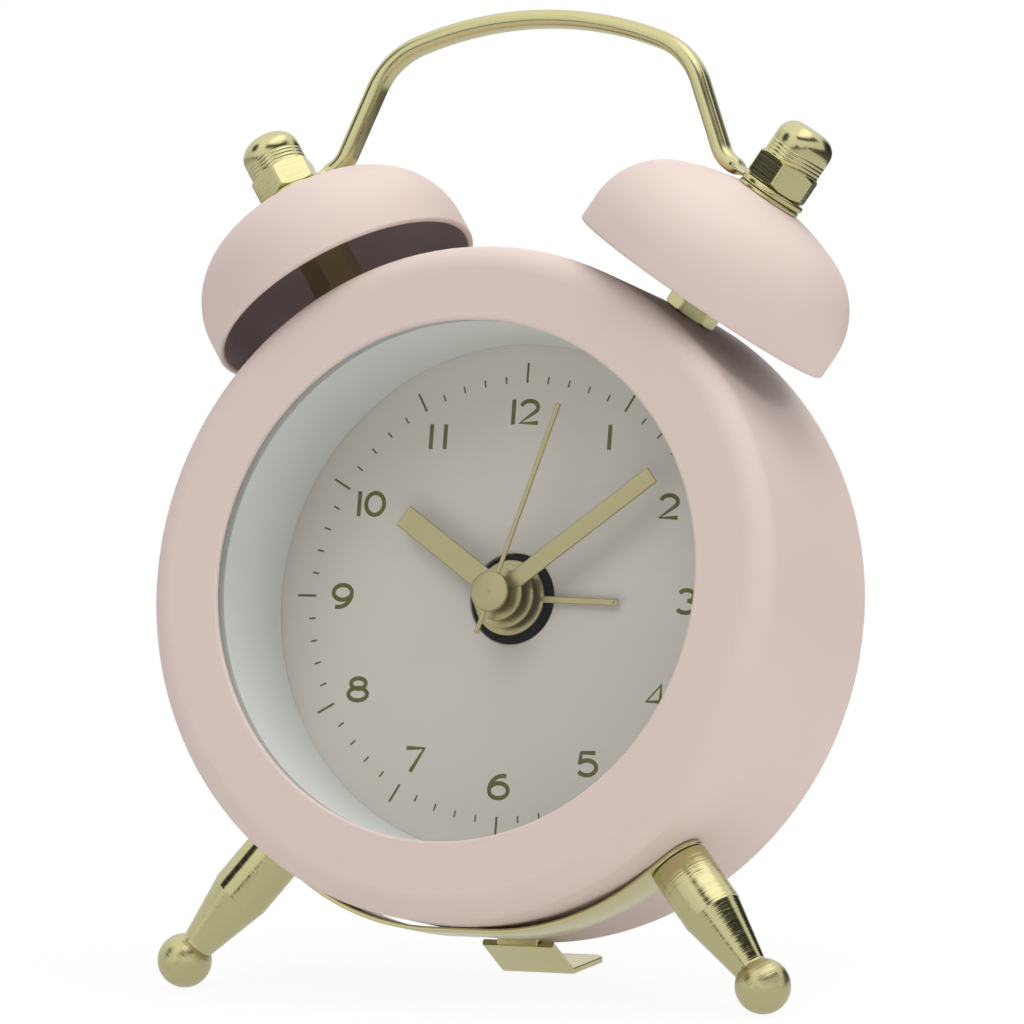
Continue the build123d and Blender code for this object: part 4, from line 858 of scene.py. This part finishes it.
class BendHandle(bpy.types.Operator):
    """Bend the carrying handle from one bar, flattened to an eye at each end"""
    bl_idname = "desk_clock.handle"
    bl_label = "Handle"

    def execute(self, context):
        width, thickness, edge = 2.2, 1.55, 0.65
        eye_wide, eye_thick, eye_reach, flat, swell_step = 3.4, 0.56, 2.2, 1.2, 0.25
        swells = ((3.28, 0.68), (2.9, 0.98), (2.46, 1.32), (width, thickness))
        middle = EYE_SEAT + EYE / 2
        heel_along, heel_bend = 5.75, 3.0
        arch, top, shoulder_x, shoulder_bend = 34.0, 52.5, 15.0, 7.0
        slope = radians(BELL_ANGLE)
        heel = Vector((middle * sin(slope) - heel_along * cos(slope),
                       middle * cos(slope) + heel_along * sin(slope)))
        heart = Vector((0, top - arch))
        knee = Vector((shoulder_x, heart.y + sqrt(arch ** 2 - shoulder_x ** 2)))
        rise = (knee - heel).normalized()
        arm_angle = atan2(rise.y, rise.x)
        reach = knee + Vector((-rise.y, rise.x)) * shoulder_bend - heart
        ahead = reach.dot(rise)
        short = sqrt(ahead ** 2 - reach.length_squared + (arch - shoulder_bend) ** 2) - ahead
        crown_turn = atan2((reach + rise * short).x, (reach + rise * short).y)
        heel_turn = pi - slope - arm_angle
        heel_run = heel_bend * tan(heel_turn / 2)
        bar = Bar("handle", (-eye_reach, middle), width, thickness, edge)
        bar.swell(eye_wide / width, eye_thick / thickness).push(flat)
        wide, thick = eye_wide, eye_thick
        for next_wide, next_thick in swells:
            bar.push(swell_step).swell(next_wide / wide, next_thick / thick)
            wide, thick = next_wide, next_thick
        bar.push(heel_along - heel_run - eye_reach - flat - swell_step * len(swells))
        bar.bend(heel_bend, -heel_turn, 10)
        bar.push((knee - heel).length - heel_run + short)
        bar.bend(shoulder_bend, pi - crown_turn - arm_angle, 16)
        bar.bend(arch, crown_turn, 18)
        lie = Matrix.Rotation(slope, 4, "Y")
        handle = paired(moved(bar.done(open_end=True), lie))
        radius, rim, hole_edge = 3.1, 0.18, 0.08
        for way in (-1, 1):
            eye = ring("eye", STUD_HOLE, radius, EYE_SEAT, EYE_SEAT + EYE,
                       (hole_edge, rim, rim, hole_edge))
            combine(handle, moved(eye, Matrix.Rotation(way * slope, 4, "Y")), "UNION")
        placed(smoothed(handle, 40), clock @ Matrix.Translation((0, BELL_DEPTH, 0)))
        dressed(named(handle, "bent_handle"), gold(), "gold", "case", "handle")
        self.washers()
        self.posts()
        return {"FINISHED"}

    @staticmethod
    def washers():
        """Washer under each eye, its edge rounded."""
        radius, rim, edge = 3.0, 0.12, 0.05
        pair = []
        for way in (-1, 1):
            washer = ring("washer", STUD_HOLE, radius, WASHER_SEAT, WASHER_SEAT + WASHER,
                          (edge, edge, rim, edge), bends=4)
            pair.append(placed(smoothed(washer), on_spoke(way * BELL_ANGLE, BELL_DEPTH)))
        dressed(joined("eye_washers", pair), gold(), "gold", "case", "handle_washers")

    @staticmethod
    def posts():
        """Hexagonal post under each bell, its ends chamfered and its middle bored."""
        flats, edge, ease, chamfer = 4.4, 0.1, 0.02, 0.3
        low = CASE_RADIUS + SEAT_GAP
        high = CROWN_Z + sqrt((CROWN - BELL_WALL) ** 2 - (flats / sqrt(3)) ** 2) - SEAT_GAP
        pair = []
        for way in (-1, 1):
            post = hexagon("post", flats, low, high, edge, ease, chamfer)
            bored(post, STUD_HOLE, low - 1, high + 1)
            pair.append(placed(smoothed(post, 28), on_spoke(way * BELL_ANGLE, BELL_DEPTH)))
        dressed(joined("hexagonal_posts", pair), gold(), "gold", "case", "bell_posts")


class TurnLegs(bpy.types.Operator):
    """Turn the two legs, and bend the band and the rear foot"""
    bl_idname = "desk_clock.legs"
    bl_label = "Legs, band and rear foot"

    def execute(self, context):
        radius, shank, neck, ball, tapped, ease = 2.7, 5.6, 1.5, 2.45, 4.5, 0.03
        heart = LEG_SEAT + 13.5
        meet = heart - sqrt(ball ** 2 - neck ** 2)
        step = LEG_SEAT + shank
        rim, step_in, neck_end = 0.2, 0.05, 0.12
        outline = ([(0, LEG_SEAT + tapped), (THREAD, LEG_SEAT + tapped), (THREAD, LEG_SEAT)]
                   + arc(radius - rim, LEG_SEAT + rim, rim, -90, 0, 4)
                   + [(radius, step - ease), (radius - step_in, step + ease),
                      (neck + ease, meet - neck_end)]
                   + arc(0, heart, ball, degrees(-acos((neck + 2 * ease) / ball)), 90, 30)[:-1]
                   + [(0, heart + ball)])
        for name, way in (("left", -1), ("right", 1)):
            angle = 180 - way * LEG_ANGLE
            leg = turned(name + "_turned_leg", outline, loop=False)
            placed(smoothed(leg, 20), on_spoke(angle, LEG_DEPTH))
            axis = spoke_axis(angle)
            start = (clock.translation.dot(axis) + meet) * MILLIMETRE
            plated = finish_of("leg_gold_" + name, turned_gold, axis, start)
            dressed(leg, plated, "gold", "case", name + "_leg")
        self.band()
        self.foot()
        return {"FINISHED"}

    @staticmethod
    def band():
        """Thin band from leg to leg, with a round eye under each."""
        turn = radians(LEG_ANGLE)
        middle = BAND_INNER + BAND / 2
        half = BAND_WIDTH / 2
        end_x = (middle - half / tan(turn)) * sin(turn)
        end_z = -middle * cos(turn) - half * sin(turn)
        sag = (end_z + middle) / (1 - cos(turn))
        edge, narrower, thinner = 0.14, 0.04, 0.02
        bar = Bar("band", (0, middle), BAND_WIDTH - narrower, BAND - thinner, edge, heading=(1, 0),
                  segments=3)
        bar.push(half).bend(sag, -turn, 28).push(end_x - sag * sin(turn))
        band = paired(moved(bar.done(open_end=True), Matrix.Rotation(pi - turn, 4, "Y")))
        top = BAND_INNER + BAND
        for way in (-1, 1):
            place = Matrix.Rotation(pi - way * turn, 4, "Y")
            eye = ring("eye", 0, half, BAND_INNER, top, (0, edge, edge, 0), bends=3, steps=72)
            combine(band, moved(eye, place), "UNION")
            hole = ring("hole", 0, STUD_HOLE, BAND_INNER - 1, BAND_INNER + 2, steps=48)
            combine(band, moved(hole, place), "DIFFERENCE")
        placed(smoothed(band, 40), clock @ Matrix.Translation((0, LEG_DEPTH, 0)))
        dressed(named(band, "bent_band"), gold(), "gold", "case", "leg_band")

    @staticmethod
    def foot():
        """Rear foot: a plate bent to lie on the floor, with a tongue through the case."""
        thickness, width, edge, corner, segments = 0.6, 7.0, 0.14, 1.0, 3
        tongue_width, tongue_run, tongue_bend, case_wall, clear = 4.0, 3.4, 0.4, 0.6, 0.12
        neck = Vector((19.42, -(CASE_RADIUS + 0.36)))
        height = axis_origin().z
        heel, end = [Vector((depth, (sin(LEAN) * depth - height + thickness / 2) / cos(LEAN)))
                     for depth in (24.2, 31.2)]
        down, along = (heel - neck).normalized(), (end - heel).normalized()
        turn = down.angle(along)
        bend = 0.7 + thickness / 2
        run = bend * tan(turn / 2)
        bar = Bar("foot", neck, width, thickness, edge, heading=down, segments=segments)
        bar.push((heel - neck).length - run).bend(bend, turn, 8)
        bar.push((end - heel).length - run - corner)
        wide, gone = width, 0.0
        for step in range(1, 7):
            ahead = corner * sin(pi / 12 * step)
            slim = width - 2 * corner * (1 - cos(pi / 12 * step))
            bar.push(ahead - gone).swell(slim / wide, 1)
            wide, gone = slim, ahead
        foot = bar.done()
        level = -(CASE_RADIUS - case_wall - clear - thickness / 2)
        tongue = Bar("tongue", (neck.x - tongue_run, level), tongue_width, thickness, edge,
                     heading=(1, 0), segments=segments)
        tongue.push(tongue_run - tongue_bend).bend(tongue_bend, -pi / 2, 6)
        tongue.push(level - neck.y - tongue_bend + thickness / 4)
        combine(foot, tongue.done(), "UNION")
        placed(smoothed(foot, 40), clock @ Matrix.Rotation(pi / 2, 4, "Z"))
        dressed(named(foot, "bent_rear_foot"), gold(), "gold", "case", "rear_foot")


class CutHands(bpy.types.Operator):
    """Cut the four hands and turn their collets"""
    bl_idname = "desk_clock.hands"
    bl_label = "Hands"

    def execute(self, context):
        # Depth, angle from 12, reach and width of the blade, radius of the collet and of its tube
        for name, *sizes in (("alarm", 12.25, 91.5, 10.7, 0.6, 3.4, 1.94),
                             ("hour", 11.0, 304.4, 12.75, 2.15, 2.9, 1.41),
                             ("minute", 9.6, 52.8, 17.95, 1.65, 2.4, 0.88)):
            self.hand(name, *sizes)
        self.second()
        return {"FINISHED"}

    @staticmethod
    def blade(start, reach, width, front):
        """Flat blade whose upper edges are bevelled."""
        thickness, bevel = 0.2, 0.07
        return block("blade", (0, (start + reach) / 2, front - thickness / 2),
                     (width, reach - start, thickness), min(bevel, width / 6))

    def hand(self, name, depth, angle, reach, width, collet, tube):
        """Blade on a stepped collet, pushed on its tube."""
        step, bore, sunk, flange, tall = (collet + tube) / 2, tube + 0.02, 0.02, 0.3, 0.8
        piece = turned(name + "_collet", rounded(
            [(bore, -sunk, 0.04), (collet, -sunk, 0.08), (collet, -flange, 0.05),
             (step, -flange, 0), (step, -tall, 0.06), (bore, -tall, 0)], bends=3), steps=88)
        arm = self.blade(0, reach, width, 0)
        cutter = turned("bore", [(0, 1), (0, -2), (bore, -2), (bore, 1)], loop=False, steps=64)
        combine(arm, cutter, "DIFFERENCE")
        if name == "alarm":
            deep, radius, inset = 0.12, 0.13, 0.35
            dot = ring("dot", 0, radius, -deep, 1, steps=24)
            combine(arm, moved(dot, Matrix.Translation((0, reach - inset, 0))), "DIFFERENCE")
        self.finished(name, combine(piece, arm, "UNION"), depth, angle)

    def second(self):
        """Thin hand with a tail, under a round cap with a centre mark."""
        radius, thick, hub, tall, bore, roof = 1.8, 0.45, 1.3, 1.25, 0.37, 0.3
        tail, reach, width, depth, angle = 3.9, 17.8, 0.45, 7.9, 17.4
        cap = turned("second_cap", rounded(
            [(0, -0.05, 0), (0.14, -0.03, 0), (0.2, 0, 0), (radius, -0.02, 0.12),
             (radius, -thick, 0.08), (hub, -thick, 0), (hub, -tall, 0.08), (bore, -tall, 0),
             (bore, -roof, 0), (0, -roof, 0)], loop=False, bends=4), loop=False, steps=88)
        arm = self.blade(-tail, reach, width, 0.01 - thick)
        cutter = turned("bore", [(0, -roof), (0, -2), (bore, -2), (bore, -roof)], loop=False,
                        steps=48)
        combine(arm, cutter, "DIFFERENCE")
        self.finished("second", combine(cap, arm, "UNION"), depth, angle)

    @staticmethod
    def finished(name, piece, depth, angle):
        """Places a hand at its depth and angle, on its own train."""
        named(placed(smoothed(piece, 25), on_dial(depth, angle)), name + "_hand_blade")
        dressed(piece, hand_gold(), "hand_gold", name + "_train", name + "_hand")


class MouldControls(bpy.types.Operator):
    """Mould the setting knobs, the battery door and the alarm switch"""
    bl_idname = "desk_clock.controls"
    bl_label = "Knobs, door and switch"

    def execute(self, context):
        for kind, side in (("time", 1), ("alarm", -1)):
            self.knob(kind + "_knob", kind + "_setter", side)
        self.door()
        self.switch()
        return {"FINISHED"}

    @staticmethod
    def behind(depth, across, high):
        """Frame on the clock's back: Z to the rear, Y down."""
        return clock @ Matrix.Translation((across, depth, high)) @ Matrix.Rotation(-pi / 2, 4, "X")

    def knob(self, name, body, side):
        """Fluted knob, dished round its hub."""
        radius, tall, rim, hub, recess, bore = 4.1, 3.6, 1.1, 1.5, 1.4, 0.61
        chamfer, draft, flutes, flute_radius, flute_out = 0.3, 0.1, 16, 0.4, 0.08
        dish, base = radius - rim, tall - recess
        knob = turned(name + "_body", rounded(
            [(bore, 0, 0), (radius - chamfer, 0, 0.1), (radius, chamfer, 0.2), (radius, tall, 0.45),
             (dish, tall, 0.25), (dish - draft, base, 0.2), (hub + draft, base, 0.2),
             (hub, tall, 0.25), (0, tall, 0), (0, tall / 2, 0), (bore, tall / 2, 0)],
            loop=False, bends=4), loop=False)
        flute = fresh(bpy.ops.mesh.primitive_cylinder_add, "flute", vertices=16,
                      radius=flute_radius, depth=tall + 2)
        bpy.ops.transform.translate(value=(radius + flute_out, 0, tall / 2))
        spin(flutes - 1, 2 * pi * (flutes - 1) / flutes, copies=True)
        combine(knob, closed(flute), "DIFFERENCE")
        placed(smoothed(knob, 35), self.behind(KNOB_FRONT, side * SETTING_X, SETTING_Z))
        dressed(knob, cover_plastic(), "cover_pink", body, name)

    def door(self):
        """Battery door: a plate with rounded corners, four finger ridges and four prongs."""
        width, height, thick, corner, edge = 12.4, 12.6, COVER_BACK - COVER_FRONT, 1.2, 0.2
        ridge_length, ridge_width, ridge_corner, ridge_thick, ridge_edge = 6.0, 0.5, 0.24, 0.5, 0.1
        ridge_pitch, ridge_y = 1.3, -3.2
        prong_radius, prong_length, prong_edge, inset, sunk = 0.6, 2.5, 0.15, 1, 0.3
        door = plate("battery_door_body", width, height, corner, thick, edge)
        for step in (-1.5, -0.5, 0.5, 1.5):
            ridge = plate("ridge", ridge_length, ridge_width, ridge_corner, ridge_thick,
                          ridge_edge)
            spot = (0, ridge_y + ridge_pitch * step, thick - edge)
            combine(door, moved(ridge, Matrix.Translation(spot)), "UNION")
        for way in (-1, 1):
            for up in (-1, 1):
                spot = (way * (width / 2 - inset), up * (height / 2 - inset), 0)
                prong = ring("prong", 0, prong_radius, -prong_length, sunk,
                             (0, prong_edge, 0, 0), bends=3, steps=32)
                combine(door, moved(prong, Matrix.Translation(spot)), "UNION")
        placed(smoothed(door, 35), self.behind(COVER_FRONT, 0, CELL_Z))
        dressed(door, cover_plastic(), "cover_pink", "door", "battery_door")

    def switch(self):
        """Alarm slider: a plate behind the cover with a ribbed finger piece."""
        width, height, corner, thick, edge = 6.0, 3.2, 0.3, 0.8, 0.1
        finger_width, finger_height, finger_corner, finger_edge = 2.2, 1.8, 0.2, 0.15
        proud, sunk, slot_pitch, slot_size, slot_edge = 1.0, 0.3, 0.6, (0.22, 3.0, 0.36), 0.03
        reach = COVER_BACK + proud - SLIDER_BACK
        slider = plate("alarm_switch_body", width, height, corner, thick, edge)
        finger = plate("finger", finger_width, finger_height, finger_corner, reach + sunk,
                       finger_edge)
        combine(slider, moved(finger, Matrix.Translation((0, 0, thick - sunk))), "UNION")
        for way in (-1, 0, 1):
            slot = block("slot", (way * slot_pitch, 0, thick + reach), slot_size, slot_edge)
            combine(slider, slot, "DIFFERENCE")
        placed(smoothed(slider, 35), self.behind(SLIDER_BACK - thick, SWITCH_X, SWITCH_Z))
        dressed(slider, moulded_black(), "movement_black", "switch_slider", "alarm_switch")


class Studio(bpy.types.Operator):
    """Floor, soft lights, reflections and camera"""
    bl_idname = "desk_clock.studio"
    bl_label = "Studio"

    def execute(self, context):
        self.floor()
        self.world(context)
        self.lamps()
        self.camera(context)
        context.scene.view_settings.view_transform = "Standard"
        return {"FINISHED"}

    @staticmethod
    def floor():
        """Pale floor that fades to white away from the clock, and is darker far off for metal."""
        plane = fresh(bpy.ops.mesh.primitive_circle_add, "studio_floor", vertices=96, radius=4,
                      fill_type="NGON")
        mode("OBJECT")
        finish = Finish("studio_floor")
        reach = finish.node("ShaderNodeVectorMath", {"operation": "LENGTH"}, {0: finish.place()},
                            "Value")
        tone = finish.mix(finish.noise(300, 2), colour("floor"), near(colour("floor"), 0.985))
        lit = finish.node("ShaderNodeBsdfDiffuse", {}, {"Color": tone})
        camera, glossy, clear = finish.rays()
        dark = finish.window(finish.along((-1, 0, 0)), 0.2, 0.4) * FLOOR_LEFT_DIM + FLOOR_DIM
        for direction, start, end, share in FLOOR_DARKS:
            dark = dark.most(finish.window(finish.along(direction), start, end) * share)
        glow = finish.node("ShaderNodeEmission", {},
                           {"Color": (1, 1, 1, 1), "Strength": 1.0 - glossy * dark})
        far = finish.node("ShaderNodeMapRange", {"interpolation_type": "SMOOTHSTEP"},
                          {"Value": reach, "From Min": 0.03, "From Max": 0.25, "To Min": 0.93})
        both = finish.blend(camera.most(glossy.most(clear)) * far, lit, glow)
        finish.node("ShaderNodeOutputMaterial", {}, {"Surface": both})
        coated(plane, finish.material)

    @staticmethod
    def world(context):
        """Even light, white behind the clock, and a room of light and dark parts for metal."""
        world = context.scene.world or bpy.data.worlds.new("studio")
        context.scene.world = world
        world.use_nodes = True
        finish = Finish("studio", world.node_tree)
        camera, glossy, clear = finish.rays()
        way = finish.node("ShaderNodeTexCoord", {}, {}, "Generated")
        right, front, up = [finish.dot(way, axis) for axis in ((1, 0, 0), (0, -1, 0), (0, 0, 1))]
        turn = right.sum("ARCTAN2", right, front)
        dark = (finish.window(up, *BEAM_LOW) * (1 - finish.window(up, *BEAM_HIGH))
                * finish.window(turn, *BEAM_LEFT) * (1 - finish.window(turn, *BEAM_RIGHT)))
        for *place, inner, outer in ROOM_SPOTS:
            round_it, height = [radians(angle) for angle in place]
            spot = finish.dot(way, (sin(round_it) * cos(height), -cos(round_it) * cos(height),
                                    sin(height)))
            dark = dark.most(finish.window(spot, cos(radians(outer)), cos(radians(inner))))
        patch = finish.window(up, 0.72, 0.84) * finish.window(right, 0.0, 0.3)
        level = ((ROOM_LEVEL + finish.window(up, 0.1, 0.9) * ROOM_ABOVE
                  + finish.window(front, 0, 1) * ROOM_FRONT + patch * ROOM_PATCH)
                 * (1 - dark * ROOM_DARK))
        room, light, white = [finish.node("ShaderNodeBackground", {},
                                          {"Color": (1, 1, 1, 1), "Strength": strength})
                              for strength in (level, AMBIENT, 1.0)]
        both = finish.blend(camera.most(clear), finish.blend(glossy, light, room), white)
        finish.node("ShaderNodeOutputWorld", {}, {"Surface": both})

    @staticmethod
    def lamps():
        """Large soft lamps round the clock."""
        for name, spot, width, power in LAMPS:
            bpy.ops.object.light_add(type="AREA", location=spot)
            lamp = named(bpy.context.object, name + "_lamp")
            lamp.data.shape = "DISK"
            lamp.data.size = width
            lamp.data.energy = power
            lamp.visible_glossy = False
            lamp.rotation_mode = "QUATERNION"
            lamp.rotation_quaternion = (Vector(LAMP_AIM) - lamp.location).to_track_quat("-Z", "Y")

    @staticmethod
    def camera(context):
        """Camera at the photograph's angle."""
        bpy.ops.object.camera_add()
        camera = bpy.context.object
        camera.data.sensor_width = SENSOR
        camera.data.lens = SENSOR * FOCUS_PIXELS / PICTURE_PIXELS
        camera.data.clip_start, camera.data.clip_end = 0.02, 20.0
        lean = Matrix.Rotation(-LEAN, 3, "X")
        right, up = lean @ Vector(CAMERA_RIGHT), lean @ Vector(CAMERA_UP)
        turn = Matrix((right, up, right.cross(up))).transposed().to_4x4()
        camera.matrix_world = Matrix.Translation(clock @ Vector(CAMERA_PLACE) * MILLIMETRE) @ turn
        context.scene.camera = camera


class DeskClockPanel(bpy.types.Panel):
    """The clock's pieces, sizes and colours"""
    bl_idname = "DESK_CLOCK_PT_pieces"
    bl_label = "Desk clock"
    bl_space_type = "VIEW_3D"
    bl_region_type = "UI"
    bl_category = "Desk clock"

    def draw(self, context):
        for operator in PIECES:
            self.layout.operator(operator.bl_idname)
        for group in (context.scene.desk_clock_sizes, context.scene.desk_clock_colours):
            for name in group.__annotations__:
                self.layout.prop(group, name)


PIECES = (Studio, DressSolids, PrintDial, TurnBells, TurnCapNuts, BendHandle, TurnLegs, CutHands,
          MouldControls)
CLASSES = (DeskClockSizes, DeskClockColours, *PIECES, DeskClockPanel)


def register():
    for item in CLASSES:
        bpy.utils.register_class(item)
    bpy.types.Scene.desk_clock_sizes = bpy.props.PointerProperty(type=DeskClockSizes)
    bpy.types.Scene.desk_clock_colours = bpy.props.PointerProperty(type=DeskClockColours)


def unregister():
    del bpy.types.Scene.desk_clock_colours
    del bpy.types.Scene.desk_clock_sizes
    for item in reversed(CLASSES):
        bpy.utils.unregister_class(item)


def main():
    register()
    for operator in PIECES:
        group, name = operator.bl_idname.split(".")
        getattr(getattr(bpy.ops, group), name)()


if __name__ == "__main__":
    main()
